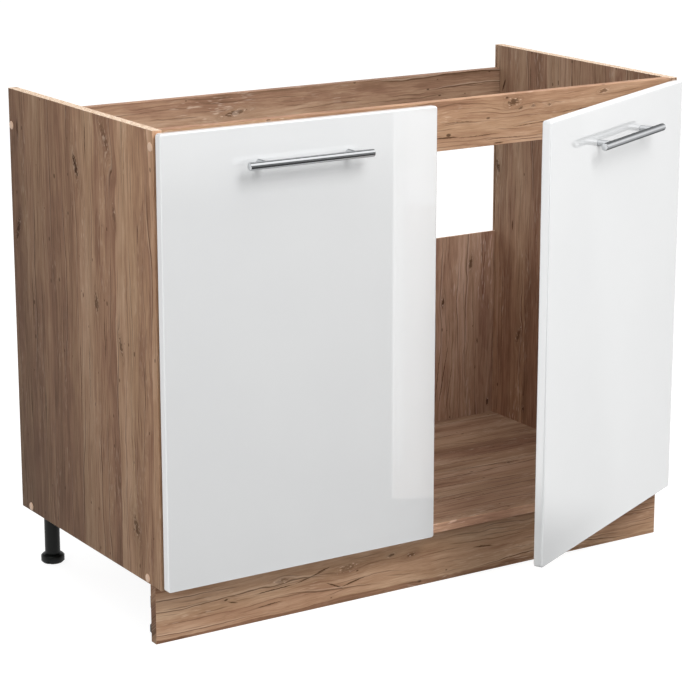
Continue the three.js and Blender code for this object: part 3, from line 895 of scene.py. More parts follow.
    def piece(self, name: str, body: str, finish: Finish,
              stands_for: tuple[str, ...] = ()) -> bpy.types.Object:
        """Makes a piece of the shape on its body, in place of the CAD nodes that it stands for.

        Args:
            name: The piece's name.
            body: The body that it rides on.
            finish: Its finish.
            stands_for: The CAD nodes that it replaces.

        Returns:
            The piece's object.
        """
        data = bpy.data.meshes.new(name)
        self.mesh.to_mesh(data)
        data.shade_smooth()
        data.set_sharp_from_angle(angle=self.SHARP)
        data.materials.append(finish.material())
        made = bpy.data.objects.new(name, data)
        bpy.context.scene.collection.objects.link(made)
        weights = made.modifiers.new("flats_stay_flat", "WEIGHTED_NORMAL")
        weights.keep_sharp = True
        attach(made, body)
        if stands_for:
            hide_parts(*stands_for)
        LOG.info("%s rides on %s, %d faces", name, body, len(data.polygons))
        return made


def on_outline(edge: bmesh.types.BMEdge, low: Vector, high: Vector) -> bool:
    """Whether an edge is one of the twelve arrises of a box.

    Args:
        edge: The edge.
        low: The box's lowest corner.
        high: Its highest one.

    Returns:
        True if it is.
    """
    near = 0.02 * MM

    def shared(axis: int) -> bool:
        """Whether the edge lies in one of the two faces across that axis."""
        places = [vertex.co[axis] for vertex in edge.verts]
        return any(all(abs(place - limit) < near for place in places) for limit in (low[axis], high[axis]))

    return sum(shared(axis) for axis in range(3)) >= 2


class Side(Enum):
    """Left or right, as seen from the front."""

    LEFT = -1
    RIGHT = 1

    @property
    def word(self) -> str:
        """The side in a piece's name."""
        return self.name.lower()


SIDES = tuple(Side)


# ---------------------------------------------------------------------------------------------
# Sub-assemblies
# ---------------------------------------------------------------------------------------------


@dataclass
class Carcass:
    """The boards, each with a slightly broken arris and its own stretch of the print.

    The prints hold the knots and splits that the photograph shows.
    """

    arris: float = 0.45 * MM

    def build(self) -> None:
        """Makes the boards."""
        prints = {
            "side_panel_left": self._left_side, "side_panel_right": self._right_side,
            "bottom_panel": self._bottom, "front_rail": self._front_rail, "rear_rail": self._rear_rail,
            "back_panel": self._back, "plinth": self._plinth,
        }
        for node, decor in prints.items():
            low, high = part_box(node)
            board = Shape.of_node(node)
            board.softened(self.arris, segments=2, chosen=lambda edge: on_outline(edge, low, high))
            body = "plinth" if node == "plinth" else "carcass"
            board.piece(f"{node}_board", body, decor(low, high), (node,))

    @staticmethod
    def _side_edges(low: Vector, high: Vector) -> tuple[RawEdge, ...]:
        """The top, lower and rear edges of a side panel, which have no band."""
        return RawEdge(2, high.z, 1), RawEdge(2, low.z, -1), RawEdge(1, high.y, 1)

    def _left_side(self, low: Vector, high: Vector) -> OakDecor:
        """The left side's print, between the panel's lowest and highest corners."""
        return OakDecor(
            "oak_left_side", grain=Grain.UPRIGHT_SIDE, shown_at=low.x, seed=3.1,
            knots=(
                Knot(0.724, 0.127, 0.045, 0.015, 0.95, 0.3), Knot(0.179, -0.054, 0.04, 0.017, 0.72, 0.3),
                Knot(0.516, 0.065, 0.035, 0.013, 0.7, 0.1), Knot(0.462, -0.015, 0.035, 0.01, 0.7, 0.3),
                Knot(0.784, 0.025, 0.05, 0.018, 0.5, 0.5), Knot(0.585, 0.346, 0.045, 0.012, 0.9, -0.3),
                Knot(0.665, -0.002, 0.03, 0.01, 0.5, 0.2),
            ),
            cracks=(
                Crack(0.752, 0.338, 0.02, 3 * MM), Crack(0.47, 0.298, 0.055, 1.6 * MM),
                Crack(0.3, 0.262, 0.04, 2 * MM), Crack(0.765, 0.091, 0.04, 1.4 * MM),
                Crack(0.38, 0.127, 0.075, 1.3 * MM), Crack(0.39, 0.095, 0.07, 1.2 * MM),
                Crack(0.29, 0.315, 0.03, 2 * MM), Crack(0.41, -0.092, 0.045, 1.4 * MM),
                Crack(0.65, -0.079, 0.02, 1.3 * MM), Crack(0.46, 0.038, 0.045, 1.2 * MM),
            ),
            # The shade paints the side lighter towards its top and front, where more light falls.
            raw_edges=self._side_edges(low, high), shade=(0.53, -1.3), cast=(0.905, 0.895, 0.885),
        )

    def _right_side(self, low: Vector, high: Vector) -> OakDecor:
        """The right side's print, between the panel's lowest and highest corners."""
        return OakDecor(
            "oak_right_side", grain=Grain.UPRIGHT_SIDE, shown_at=low.x, seed=11.7, tone=0.98,
            knots=(
                Knot(0.591, 0.353, 0.03, 0.012, 0.8), Knot(0.28, 0.28, 0.03, 0.011, 0.7, -0.3),
                Knot(0.14, 0.261, 0.014, 0.006, 0.9), Knot(0.3, 0.1, 0.04, 0.012),
            ),
            cracks=(
                Crack(0.744, 0.339, 0.014, 3 * MM, -0.4), Crack(0.77, 0.257, 0.03),
                Crack(0.769, 0.174, 0.006, 2 * MM), Crack(0.486, 0.304, 0.012, 2 * MM),
                Crack(0.3, 0.333, 0.16, 0.8 * MM), Crack(0.45, 0.2, 0.05, 2 * MM),
            ),
            # The shade paints the panel lighter towards the bottom and darker towards the top, as painted
            # light and shade.
            raw_edges=self._side_edges(low, high), shade=(-0.5, 0.0), cast=(0.99, 1.05, 1.13),
            middle=(0.6, 0.1),
        )

    @staticmethod
    def _bottom(low: Vector, high: Vector) -> OakDecor:
        """The bottom panel's print, between the panel's lowest and highest corners."""
        return OakDecor(
            "oak_floor", grain=Grain.LEVEL_FLOOR, shown_at=high.z, seed=5.3, tone=0.88,
            knots=(Knot(0.317, 0.077, 0.014, 0.005, 0.9), Knot(-0.2, 0.1, 0.06, 0.014, 0.5)),
            cracks=(
                Crack(0.265, 0.086, 0.12, 1.3 * MM, -0.1), Crack(0.21, 0.016, 0.1, 1 * MM, -0.1),
                Crack(0.17, -0.048, 0.1, 0.9 * MM), Crack(0.32, 0.217, 0.06, 0.9 * MM, -0.35),
            ),
            # The front edge's band is painted lighter, partly its own tone and partly painted light.
            bands=(BandedEdge(1, low.y, -1, 1.9),), cast=(0.97, 1.01, 1.08),
        )

    @staticmethod
    def _front_rail(low: Vector, high: Vector) -> OakDecor:
        """The front rail's print, between the rail's lowest and highest corners."""
        return OakDecor(
            "oak_front_rail", grain=Grain.LEVEL_FRONT, shown_at=low.y, seed=7.9, tone=1.03,
            knots=(
                Knot(0.159, 0.803, 0.026, 0.013, 0.8), Knot(0.146, 0.811, 0.009, 0.004, 0.8),
                Knot(0.174, 0.792, 0.012, 0.005, 0.7), Knot(0.199, 0.794, 0.01, 0.005, 0.7),
                Knot(0.232, 0.793, 0.011, 0.005, 0.7), Knot(0.343, 0.806, 0.02, 0.008, 0.6),
            ),
            cracks=(
                Crack(0.026, 0.756, 0.03, 1.7 * MM), Crack(0.032, 0.76, 0.006, 3 * MM),
                Crack(0.09, 0.7545, 0.05, 0.8 * MM), Crack(0.05, 0.779, 0.035, 0.7 * MM),
                Crack(0.14, 0.746, 0.05, 0.7 * MM), Crack(0.2, 0.765, 0.05, 0.7 * MM, 0.05),
                Crack(0.29, 0.78, 0.05, 0.7 * MM, 0.05), Crack(0.13, 0.739, 0.012, 1.4 * MM),
            ),
            # Bands painted lighter on the top edge and darker on the lower edge, as painted light and shade.
            bands=(BandedEdge(2, high.z, 1, 1.3), BandedEdge(2, low.z, -1, 0.9)),
        )

    @staticmethod
    def _rear_rail(low: Vector, high: Vector) -> OakDecor:
        """The rear rail's print, between the rail's lowest and highest corners."""
        return OakDecor(
            "oak_rear_rail", grain=Grain.LEVEL_FRONT, shown_at=low.y, seed=9.4, tone=0.92,
            knots=(Knot(-0.08, 0.74, 0.05, 0.01, 0.7),),
            cracks=(Crack(0.323, 0.748, 0.004, 1.8 * MM), Crack(0.349, 0.734, 0.004, 1.6 * MM)),
            # Bands painted lighter on the top edge and darker on the lower edge, as painted light and shade.
            bands=(BandedEdge(2, high.z, 1, 1.25), BandedEdge(2, low.z, -1, 0.9)),
            # The shade paints the rail darker towards its right end, as painted shade.
            shade=(-0.5, 0.0), cast=(1.08, 1.15, 1.22), middle=(0.0, 0.0),
        )

    @staticmethod
    def _back(low: Vector, high: Vector) -> OakDecor:
        """The back panel's print, between the panel's lowest and highest corners."""
        return OakDecor(
            "oak_back_sheet", grain=Grain.UPRIGHT_BACK, shown_at=low.y, seed=15.2, tone=1.03,
            knots=(
                Knot(0.34, 0.368, 0.024, 0.007, 0.85, 0.1), Knot(0.409, 0.43, 0.022, 0.009, 0.75),
                Knot(0.134, 0.473, 0.014, 0.006, 0.9), Knot(0.3, 0.0, 0.07, 0.016, 0.5),
            ),
            cracks=(
                Crack(0.257, 0.448, 0.007, 1.6 * MM), Crack(0.206, 0.444, 0.005, 1.6 * MM),
                Crack(0.2, 0.37, 0.08, 1.1 * MM, 0.18), Crack(0.2, 0.357, 0.07, 0.9 * MM, 0.12),
                Crack(0.17, 0.383, 0.06, 0.8 * MM, 0.15), Crack(0.43, 0.456, 0.03, 0.8 * MM),
            ),
            raw_edges=(RawEdge(2, high.z, 1),), cast=(1.07, 1.14, 1.3),
        )

    @staticmethod
    def _plinth(low: Vector, high: Vector) -> OakDecor:
        """The plinth's print, between the board's lowest and highest corners."""
        return OakDecor(
            "oak_plinth", grain=Grain.LEVEL_FRONT, shown_at=low.y, seed=2.2, tone=1.02,
            knots=(
                Knot(-0.271, 0.062, 0.03, 0.009, 0.5, 0.1), Knot(-0.146, 0.059, 0.034, 0.012, 0.4, 0.1),
                Knot(-0.06, 0.065, 0.014, 0.005, 0.8), Knot(-0.02, 0.058, 0.02, 0.006, 0.6),
                Knot(-0.374, 0.05, 0.008, 0.003, 0.9),
            ),
            cracks=(
                Crack(-0.284, 0.05, 0.045, 1.2 * MM, 0.04), Crack(-0.217, 0.057, 0.035, 1.3 * MM, 0.2),
                Crack(-0.17, 0.034, 0.02, 1.6 * MM, -0.45), Crack(-0.133, 0.034, 0.03, 1.6 * MM, 0.2),
                Crack(-0.295, 0.026, 0.03, 1 * MM, 0.08), Crack(-0.362, 0.044, 0.012, 1.2 * MM, -0.3),
                Crack(0.127, 0.046, 0.024, 1.6 * MM, -0.09), Crack(-0.192, 0.064, 0.016, 1.4 * MM, 0.25),
            ),
            raw_edges=(RawEdge(2, low.z, -1),),
            # Bands painted darker on both ends, as painted shade.
            bands=(BandedEdge(0, low.x, -1, 0.8), BandedEdge(0, high.x, 1, 0.8)),
        )


@dataclass
class CoverCaps:
    """Caps over the carcass screws, flat on top with a sloped rim."""

    radius: float = 7 * MM
    rise: float = 1.2 * MM
    peg_radius: float = 1.8 * MM
    peg_length: float = 2.4 * MM
    slope: float = 1.1 * MM

    def build(self) -> None:
        """Makes a cap over each screw."""
        for side in SIDES:
            for joint in ("front_rail", "rear_rail", "floor_front", "floor_rear"):
                node = f"cap_{joint}_{side.word}"
                middle = sum(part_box(node), Vector()) / 2
                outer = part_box(f"side_panel_{side.word}")[0 if side is Side.LEFT else 1].x
                cap = self._cap().aimed(Vector((side.value, 0, 0)))
                cap.moved(Vector((outer, middle.y, middle.z)))
                cap.piece(f"{node}_dome", "carcass", BEIGE_PLASTIC, (node,))

    def _cap(self) -> Shape:
        """One cap, with its top towards +Z and its seat at 0.

        Returns:
            The cap with the peg under it.
        """
        foot = [(0, -self.peg_length), (self.peg_radius, -self.peg_length), (self.peg_radius, 0)]
        inner = self.radius - self.slope
        top = [
            (self.radius, 0), (inner + 0.1 * self.slope, 0.8 * self.rise),
            (inner - 0.2 * self.slope, 0.93 * self.rise), (inner - 0.8 * self.slope, 0.98 * self.rise),
            (0, self.rise),
        ]
        return Shape.turned([*foot, *top], steps=48)


@dataclass
class ScrewLegs:
    """Plastic legs under the carcass with feet that screw in and out."""

    tube_radius: float = 13 * MM
    tube_wall: float = 2.7 * MM
    flange_radius: float = 21 * MM
    flange_thickness: float = 6 * MM
    foot_radius: float = 20 * MM
    foot_height: float = 15 * MM
    foot_chamfer: float = 3 * MM
    stem_length: float = 62 * MM
    clearance: float = 0.3 * MM
    notch_width: float = 6 * MM
    notch_depth: float = 4 * MM
    notch_height: float = 5 * MM
    notches: int = 4
    fillet: float = 2 * MM
    arris: float = 0.7 * MM

    def build(self) -> None:
        """Makes the four legs and their feet."""
        for row in ("front", "rear"):
            for side in SIDES:
                place = f"{row}_{side.word}"
                low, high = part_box(f"leg_{place}")
                spot = Vector(((low.x + high.x) / 2, (low.y + high.y) / 2, 0))
                leg = self._leg(high.z).moved(spot)
                leg.piece(f"leg_{place}_tube", "carcass", BLACK_PLASTIC, (f"leg_{place}",))
                foot = self._foot().moved(spot)
                foot.piece(f"foot_{place}_pad", f"foot_{place}", BLACK_PLASTIC, (f"foot_{place}",))

    @property
    def bore_radius(self) -> float:
        """The radius of the hole that the foot's stem screws into."""
        return self.tube_radius - self.tube_wall

    def _leg(self, top: float) -> Shape:
        """The tube with its flange.

        Args:
            top: The height of the carcass's underside.

        Returns:
            The leg, round Z.
        """
        bottom = self.foot_height + self.clearance
        bore_top = self.foot_height + self.stem_length + 2 * self.clearance
        flange = top - self.flange_thickness
        profile = [
            (0, bore_top), (self.bore_radius, bore_top), (self.bore_radius, bottom),
            (self.tube_radius, bottom), (self.tube_radius, flange - self.fillet),
            (self.tube_radius + 0.3 * self.fillet, flange - 0.3 * self.fillet),
            (self.tube_radius + self.fillet, flange),
            (self.flange_radius, flange), (self.flange_radius, top), (0, top),
        ]
        return Shape.turned(profile, steps=72).softened(self.arris, segments=2)

    def _foot(self) -> Shape:
        """The notched foot with its stem, standing on the floor.

        Returns:
            The foot, round Z.
        """
        stem = self.bore_radius - self.clearance
        stem_top = self.foot_height + self.stem_length
        profile = [
            (0, 0), (self.foot_radius - self.foot_chamfer, 0), (self.foot_radius, self.foot_chamfer),
            (self.foot_radius, self.foot_height - self.foot_chamfer),
            (self.foot_radius - self.foot_chamfer, self.foot_height), (stem, self.foot_height),
            (stem, stem_top), (0, stem_top),
        ]
        inner = self.foot_radius - self.notch_depth
        cutter = Shape.block(Vector((inner, -self.notch_width / 2, -MM)),
                             Vector((self.foot_radius + MM, self.notch_width / 2, self.notch_height)))
        turns = [Matrix.Rotation((i + 0.5) * math.tau / self.notches, 4, "Z") for i in range(self.notches)]
        tools = [cutter.copy().moved(turn) for turn in turns]
        return Shape.turned(profile, steps=72).carved(*tools)


@dataclass
class PlinthClips:
    """Moulded clips that hold the plinth to the front legs."""

    arris: float = 0.5 * MM

    def build(self) -> None:
        """Makes both clips."""
        for side in SIDES:
            node = f"plinth_clip_{side.word}"
            clip = Shape.of_node(node).softened(self.arris, segments=2)
            clip.piece(f"{node}_moulding", "plinth", BLACK_PLASTIC, (node,))


@dataclass(frozen=True)
class HungDoor:
    """Where one door hangs. Places are given on the closed door and swung to how far it stands open."""

    side: Side

    @property
    def closed(self) -> tuple[Vector, Vector]:
        """The closed door's lowest and highest corners. The left door is shut in the frame."""
        low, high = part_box("door_left")
        if self.side is Side.LEFT:
            return low, high
        return Vector((-high.x, low.y, low.z)), Vector((-low.x, high.y, high.z))

    @property
    def face(self) -> float:
        """Y of the closed door's front."""
        return self.closed[0].y

    @property
    def back(self) -> float:
        """Y of the closed door's back."""
        return self.closed[1].y

    @property
    def middle(self) -> float:
        """X of the closed door's middle."""
        low, high = self.closed
        return (low.x + high.x) / 2

    def inwards(self, distance: float) -> float:
        """X at a distance from the hinge edge."""
        low, high = self.closed
        return low.x + distance if self.side is Side.LEFT else high.x - distance

    @property
    def joint(self) -> dict:
        """The door's joint."""
        return next(j for j in frame["joints"] if j["child"] == f"door_{self.side.word}")

    @property
    def swing(self) -> Matrix:
        """The turn from closed to how the door stands."""
        axis = Vector(self.joint["pos_m"])
        opening = -math.radians(self.joint["range_deg"][0]) * self.side.value
        return Matrix.Translation(axis) @ Matrix.Rotation(opening, 4, "Z") @ Matrix.Translation(-axis)


@dataclass
class CrossScrew:
    """A small screw head with a cross recess, looking along +Z from its seat at 0."""

    radius: float = 3.4 * MM
    rise: float = 1.3 * MM
    slot_length: float = 3.8 * MM
    slot_width: float = 0.8 * MM
    slot_depth: float = 0.9 * MM
    sunk: float = 0.2 * MM

    def head(self) -> Shape:
        """The screw head, sunk a little into its seat.

        Returns:
            The head.
        """
        dome = [
            (0, -self.sunk), (self.radius, -self.sunk), (self.radius, 0.35 * self.rise),
            (0.86 * self.radius, 0.72 * self.rise), (0.6 * self.radius, 0.93 * self.rise), (0, self.rise),
        ]
        reach, half = self.slot_length / 2, self.slot_width / 2
        bottom, above = self.rise - self.slot_depth, self.rise + MM
        head = Shape.turned(dome, steps=24)
        for x, y in ((reach, half), (half, reach)):
            head.carved(Shape.block(Vector((-x, -y, bottom)), Vector((x, y, above))))
        return head


@dataclass
class Hinge:
    """A concealed hinge: a cup in the door, and an arm on a mounting plate inside the carcass."""

    door: HungDoor
    level: str
    screw: Shape
    cup_radius: float = 17.5 * MM
    cup_depth: float = 12.5 * MM
    cup_wall: float = 1 * MM
    cup_edge_distance: float = 4 * MM
    flange: float = 1 * MM
    clearance: float = 0.3 * MM
    ear_length: float = 31 * MM
    ear_width: float = 18 * MM
    ear_screw: float = 24.3 * MM
    ear_round: float = 0.98
    pocket_half_width: float = 7.3 * MM
    plate_screw: float = 16 * MM
    plate_line: float = 37 * MM
    wing_thickness: float = 2 * MM
    adjusters: tuple[float, float] = (20 * MM, 50 * MM)
    pressed_arris: float = 0.3 * MM
    cast_arris: float = 0.25 * MM

    def build(self) -> None:
        """Makes the cup, the arm, the plate and their screws."""
        side = self.door.side
        label = f"{self.level}_{side.word}"
        low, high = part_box(f"hinge_plate_{label}")
        height = (low.z + high.z) / 2
        self._cup(height).moved(self.door.swing).piece(
            f"hinge_cup_{label}_bowl", f"door_{side.word}", NICKEL, (f"hinge_cup_{label}",))
        self._cup_screws(height).moved(self.door.swing).piece(
            f"hinge_cup_{label}_screws", f"door_{side.word}", NICKEL)
        for part in ("arm", "plate"):
            node = f"hinge_{part}_{label}"
            pressing = Shape.of_node(node).softened(self.pressed_arris, segments=2)
            pressing.piece(f"{node}_pressing", "carcass", NICKEL, (node,))
        self._carcass_screws(height).piece(f"hinge_plate_{label}_screws", "carcass", NICKEL)

    def _cup(self, height: float) -> Shape:
        """The cup with its ears, as the closed door holds it.

        Args:
            height: The height of its middle.

        Returns:
            The cup.
        """
        centre = Vector((self.door.inwards(self.cup_edge_distance + self.cup_radius), self.door.back, height))
        seat, top = self.clearance, self.clearance + self.flange
        barrel = Shape.rod(self.cup_radius, -self.cup_depth, top)
        half = Vector((self.ear_width / 2, self.ear_length, 0))
        plate = Shape.block(Vector((-half.x, -half.y, seat)), Vector((half.x, half.y, top)))

        def upright(edge: bmesh.types.BMEdge) -> bool:
            """Whether an edge runs through the plate."""
            return abs(edge.verts[0].co.z - edge.verts[1].co.z) > self.flange / 2

        plate.softened(half.x * self.ear_round, segments=8, chosen=upright)
        bore = Shape.rod(self.cup_radius - self.cup_wall, self.cup_wall - self.cup_depth, top + MM)
        slab = Shape.block(Vector((-self.cup_radius, -self.pocket_half_width, -self.cup_depth)),
                           Vector((self.cup_radius, self.pocket_half_width, top + 2 * MM)))
        cup = barrel.fused(plate).carved(bore.kept_within(slab)).softened(self.cast_arris, segments=2)
        return cup.moved(Matrix.Translation(centre) @ Matrix.Rotation(-math.pi / 2, 4, "X"))

    def _cup_screws(self, height: float) -> Shape:
        """The two screws that hold the ears to the door.

        Args:
            height: The height of the cup's middle.

        Returns:
            Both heads.
        """
        x = self.door.inwards(self.cup_edge_distance + self.cup_radius)
        y = self.door.back + self.clearance + self.flange
        spots = [Vector((x, y, height + end * self.ear_screw)) for end in (-1, 1)]
        return self._screws(-FRONT, spots)

    def _carcass_screws(self, height: float) -> Shape:
        """The plate's two fixing screws and the arm's two adjusting screws.

        Args:
            height: The height of the plate's middle.

        Returns:
            The four heads.
        """
        inwards = -self.door.side.value
        inner_corner = 1 if self.door.side is Side.LEFT else 0
        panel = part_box(f"side_panel_{self.door.side.word}")
        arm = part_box(f"hinge_arm_{self.level}_{self.door.side.word}")
        wing = panel[inner_corner].x + inwards * self.wing_thickness
        line = panel[0].y + self.plate_line
        spots = [Vector((wing, line, height + end * self.plate_screw)) for end in (-1, 1)]
        spots += [Vector((arm[inner_corner].x, panel[0].y + place, height)) for place in self.adjusters]
        return self._screws(Vector((inwards, 0, 0)), spots)

    def _screws(self, direction: Vector, spots: list[Vector]) -> Shape:
        """Copies of the screw head that look one way, from those places."""
        heads = [self.screw.copy().aimed(direction).moved(spot) for spot in spots]
        return heads[0].joined(*heads[1:])


@dataclass
class BarHandle:
    """A round bar on two posts, with its screws through the door."""

    door: HungDoor
    length: float = 222 * MM
    radius: float = 6 * MM
    end_round: float = 1.1 * MM
    drop: float = 57.5 * MM
    standoff: float = 25.5 * MM
    post_spacing: float = 160 * MM
    post_radius: float = 5 * MM
    post_arris: float = 0.35 * MM
    saddle_gap: float = 0.02 * MM
    clearance: float = 0.3 * MM

    def build(self) -> None:
        """Makes the bar and its posts."""
        word = self.door.side.word
        height = self.door.closed[1].z - self.drop
        bar = Shape.rod(self.radius, -self.length / 2, self.length / 2, steps=72)
        bar.softened(self.end_round).aimed(Vector((1, 0, 0)))
        bar.moved(Vector((self.door.middle, self.door.face - self.standoff, height))).moved(self.door.swing)
        bar.piece(f"handle_bar_{word}_round", f"door_{word}", CHROME, (f"handle_bar_{word}",))
        for name, end in (("a", -1), ("b", 1)):
            spot = Vector((self.door.middle + end * self.post_spacing / 2, self.door.face, height))
            post = self._post().aimed(FRONT).moved(spot).moved(self.door.swing)
            node = f"handle_post_{name}_{word}"
            post.piece(f"{node}_round", f"door_{word}", CHROME, (node,))

    def _post(self) -> Shape:
        """One post along +Z, from the door to the bar that its end is hollowed to fit.

        Returns:
            The post.
        """
        def at_door(edge: bmesh.types.BMEdge) -> bool:
            """Whether an edge goes round the end at the door."""
            return Shape.is_sharp(edge) and all(vertex.co.z < MM for vertex in edge.verts)

        post = Shape.rod(self.post_radius, self.clearance, self.standoff, steps=48)
        post.softened(self.post_arris, segments=2, chosen=at_door)
        saddle = Shape.rod(self.radius + self.saddle_gap, -2 * self.post_radius, 2 * self.post_radius)
        saddle.aimed(Vector((1, 0, 0))).moved(Vector((0, 0, self.standoff)))
        return post.carved(saddle)


@dataclass
class Door:
    """A gloss door board with rounded edges, bored for its hinge cups and handle screws."""

    hung: HungDoor
    edge_round: float = 3 * MM
    corner_round: float = 5 * MM
    cup_radius: float = Hinge.cup_radius
    cup_depth: float = Hinge.cup_depth
    cup_edge_distance: float = Hinge.cup_edge_distance
    screw_radius: float = 2 * MM
    screw_head_radius: float = 4 * MM
    screw_head_height: float = 2.4 * MM
    clearance: float = 0.3 * MM
    buffer_radius: float = 4 * MM

    def build(self) -> None:
        """Makes the board and its buffer."""
        word = self.hung.side.word
        node = f"door_{word}"
        board = self._board().carved(*self._cup_bores(), *self._screw_bores()).moved(self.hung.swing)
        board.piece(f"{node}_board", node, WHITE_GLOSS, (node,))
        self._buffer().piece(f"door_buffer_{word}_dome", node, CLEAR_RUBBER, (f"door_buffer_{word}",))

    def _board(self) -> Shape:
        """The closed board without its bores.

        Returns:
            The board.
        """
        def along_depth(edge: bmesh.types.BMEdge) -> bool:
            """Whether an edge runs from the front to the back."""
            return abs(edge.verts[0].co.y - edge.verts[1].co.y) > self.edge_round

        board = Shape.block(*self.hung.closed)
        board.softened(self.corner_round, segments=6, chosen=along_depth)
        return board.softened(self.edge_round, segments=6)

    def _cup_bores(self) -> list[Shape]:
        """Cutters for the hinge cups.

        Returns:
            The lower one and the upper one, for the closed door.
        """
        x = self.hung.inwards(self.cup_edge_distance + self.cup_radius)
        bores = []
        for level in ("lower", "upper"):
            low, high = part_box(f"hinge_plate_{level}_{self.hung.side.word}")
            bore = Shape.rod(self.cup_radius + self.clearance, -self.cup_depth - self.clearance, MM)
            bores.append(bore.aimed(-FRONT).moved(Vector((x, self.hung.back, (low.z + high.z) / 2))))
        return bores

    def _screw_bores(self) -> list[Shape]:
        """Cutters for the handle screws.

        Returns:
            One for each post, for the closed door.
        """
        handle = BarHandle(self.hung)
        head, shank = self.screw_head_radius + self.clearance, self.screw_radius + self.clearance
        recess = self.screw_head_height + 2 * self.clearance
        through = self.hung.back - self.hung.face + MM
        profile = [(0, -MM), (head, -MM), (head, recess), (shank, recess), (shank, through), (0, through)]
        height = self.hung.closed[1].z - handle.drop
        places = [self.hung.middle + end * handle.post_spacing / 2 for end in (-1, 1)]
        spots = [Vector((place, self.hung.back, height)) for place in places]
        return [Shape.turned(profile, steps=32).aimed(FRONT).moved(spot) for spot in spots]

    def _buffer(self) -> Shape:
        """The buffer on the door's back, near its free top corner.

        Returns:
            The buffer. The left one's box gives its thickness, because that door is shut in the frame.
        """
        low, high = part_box("door_buffer_left")
        radius, thickness = self.buffer_radius, high.y - low.y
        dome = [
            (0, -thickness / 2), (radius, -thickness / 2), (radius, 0), (0.85 * radius, 0.3 * thickness),
            (0.5 * radius, 0.46 * thickness), (0, thickness / 2),
        ]
        middle = sum(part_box(f"door_buffer_{self.hung.side.word}"), Vector()) / 2
        return Shape.turned(dome, steps=40).aimed(self.hung.swing.to_3x3() @ -FRONT).moved(middle)


@dataclass
class CarriedHardware:
    """The screws that keep their CAD shape, inside the boards and behind the doors."""

    def build(self) -> None:
        """Gives every shown CAD node its finish."""
        for name, node in frame["nodes"].items():
            if node.hide_render:
                continue
            for held in node.material_slots:
                held.material = ZINC.material()
            LOG.info("%s keeps its CAD shape", name)


# ---------------------------------------------------------------------------------------------
# Studio
# ---------------------------------------------------------------------------------------------


@dataclass(frozen=True)
class Lamp:
    """A soft square lamp.

    Its level is how bright it makes a white surface that faces it at the cabinet.
    """

    name: str
    place: tuple[float, float, float]
    size: float
    level: float

    def build(self, target: Vector) -> None:
        """Hangs the lamp and aims it.

        Args:
            target: The place that it looks at.
        """
        data = bpy.data.lights.new(self.name, "AREA")
        data.shape = "SQUARE"
        data.size = self.size
        towards = target - Vector(self.place)
        data.energy = self.level * math.pi ** 2 * towards.length_squared
        lamp = bpy.data.objects.new(self.name, data)
        lamp.location = self.place
        lamp.rotation_euler = towards.to_track_quat("-Z", "Y").to_euler()
        lamp.visible_camera = False
        lamp.visible_glossy = False
        bpy.context.scene.collection.objects.link(lamp)


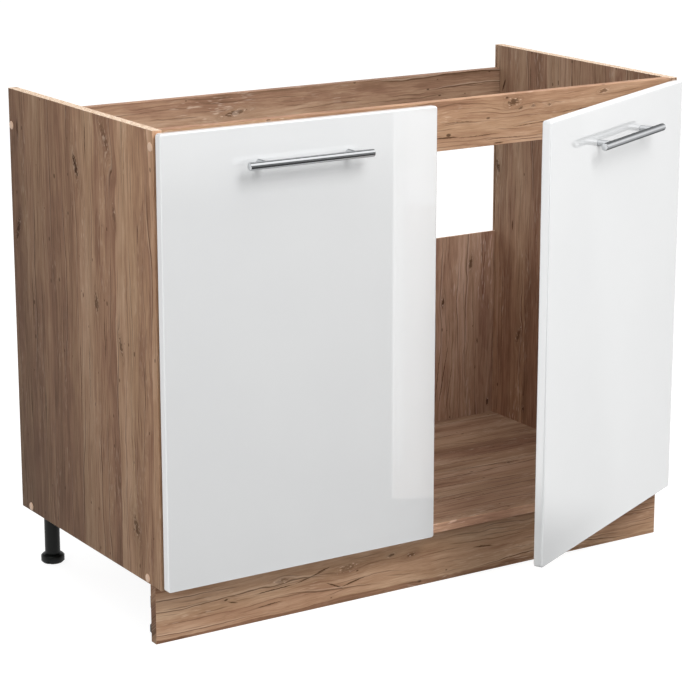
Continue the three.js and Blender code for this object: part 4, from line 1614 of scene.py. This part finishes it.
@dataclass
class Studio:
    """The camera of the photograph, a white floor and soft lamps."""

    camera_place: tuple[float, float, float] = (-2.176176, -3.296364, 1.422891)
    yaw: float = 0.5678424
    pitch: float = 0.2568673
    lens: float = 126.64
    floor_size: float = 40.0
    floor_drop: float = 0.2 * MM
    ambient: float = 0.51
    lamps: tuple[Lamp, ...] = (
        Lamp("key_front", (0.2, -2.6, 3.1), 1.7, 0.59),
        Lamp("overhead", (0.2, -0.4, 3.6), 2.4, 0.32),
        Lamp("back", (-0.9, 3.2, 1.7), 1.8, 0.13),
        Lamp("low_front", (0.3, -3.0, 0.9), 1.5, 0.13),
        Lamp("left", (-2.7, -0.9, 1.4), 1.2, 0.12),
    )

    def place_camera(self) -> None:
        """Sets the camera where the photograph was taken from."""
        data = bpy.data.cameras.new("photograph_view")
        data.lens = self.lens
        data.clip_start, data.clip_end = 0.05, 100.0
        camera = bpy.data.objects.new("photograph_view", data)
        camera.location = self.camera_place
        level = math.cos(self.pitch)
        look = Vector((math.sin(self.yaw) * level, math.cos(self.yaw) * level, -math.sin(self.pitch)))
        camera.rotation_euler = look.to_track_quat("-Z", "Y").to_euler()
        bpy.context.scene.collection.objects.link(camera)
        bpy.context.scene.camera = camera
        bpy.context.scene.view_settings.view_transform = "Standard"

    def light(self) -> None:
        """Adds the floor, the world and the lamps."""
        self._lay_floor()
        self._light_world()
        middle = sum(CAD_BOX, Vector()) / 2
        for lamp in self.lamps:
            lamp.build(middle)

    def _lay_floor(self) -> None:
        """A floor that is white to the camera and keeps the cabinet's soft shadow."""
        mesh = bmesh.new()
        bmesh.ops.create_grid(mesh, x_segments=1, y_segments=1, size=self.floor_size / 2)
        bmesh.ops.translate(mesh, vec=(0, 0, -self.floor_drop), verts=mesh.verts)
        data = bpy.data.meshes.new("studio_floor")
        mesh.to_mesh(data)
        material = bpy.data.materials.new("white_floor")
        material.use_nodes = True
        self._dress_floor(Graph(material.node_tree))
        data.materials.append(material)
        floor = bpy.data.objects.new("studio_floor", data)
        bpy.context.scene.collection.objects.link(floor)

    @staticmethod
    def _dress_floor(g: Graph) -> None:
        """White to the camera. Gloss sees it dark in front, and lighter near, at the sides and far off.

        Args:
            g: The floor's empty graph.
        """
        path = g.node("ShaderNodeLightPath")
        to_camera = Term(g, path.outputs["Is Camera Ray"])
        to_gloss = Term(g, path.outputs["Is Glossy Ray"])
        x, y, _ = g.place()
        slant = y * 0.55
        far = g.rise(g.math("SQRT", x * x + y * y), 3.3, 4.6) * 0.3
        beside = g.math("MAXIMUM", g.rise(x + slant, 0.15, 0.6) * 0.7, g.rise(slant - x, 0.15, 0.6))
        near = g.rise(y, -0.4, -0.2) * 0.8
        glow = to_camera * 0.9 + to_gloss * g.math("MAXIMUM", g.math("MAXIMUM", far, beside), near)
        matt = g.term("ShaderNodeBsdfDiffuse", sockets={"Color": g.mix(to_gloss, grey(0.3), grey(0.05))})
        shine = g.term("ShaderNodeEmission", sockets={"Color": g.vector(glow, glow, glow), "Strength": 1.0})
        both = g.term("ShaderNodeAddShader", sockets={0: matt, 1: shine})
        through = g.term("ShaderNodeBsdfTransparent")
        behind = g.term("ShaderNodeNewGeometry", output="Backfacing")
        seen = g.term("ShaderNodeMixShader", sockets={0: behind, 1: both, 2: through})
        g.node("ShaderNodeOutputMaterial", sockets={"Surface": seen})

    def _light_world(self) -> None:
        """White to the camera, bands of light and dark to gloss, and an even light to the rest."""
        world = bpy.data.worlds.new("studio")
        world.use_nodes = True
        bpy.context.scene.world = world
        g = Graph(world.node_tree)
        path = g.node("ShaderNodeLightPath")
        way = g.term("ShaderNodeTexCoord", output="Generated")
        aim = g.node("ShaderNodeSeparateXYZ", sockets={"Vector": way})
        x, y, z = (Term(g, aim.outputs[axis]) for axis in "XYZ")
        right = g.rise(x, 0.68, 0.82)
        behind = g.rise(y - right * 0.1, -0.05, 0.12)
        before = g.math("MAXIMUM", 0.1 + g.rise(z, 0.15, 0.62) * 1.15, right * 1.35)
        gloss = before + (g.fall(z, 0.35, 0.5) * 0.95 + 0.05 - before) * behind
        to_gloss, to_camera = (Term(g, path.outputs[f"Is {kind} Ray"]) for kind in ("Glossy", "Camera"))
        colour = g.mix(to_gloss, grey(self.ambient), g.vector(gloss, gloss, gloss))
        colour = g.mix(to_camera, colour, grey(1.0))
        light = g.term("ShaderNodeBackground", sockets={"Color": colour, "Strength": 1.0})
        g.node("ShaderNodeOutputWorld", sockets={"Surface": light})


def main() -> None:
    """Builds the studio and every sub-assembly, in order."""
    logging.basicConfig(level=logging.INFO, format="%(message)s")
    studio = Studio()
    studio.place_camera()
    Carcass().build()
    CoverCaps().build()
    ScrewLegs().build()
    PlinthClips().build()
    screw = CrossScrew().head()
    for side in SIDES:
        hung = HungDoor(side)
        Door(hung).build()
        BarHandle(hung).build()
        for level in ("lower", "upper"):
            Hinge(hung, level, screw).build()
    CarriedHardware().build()
    studio.light()


if __name__ == "__main__":
    main()
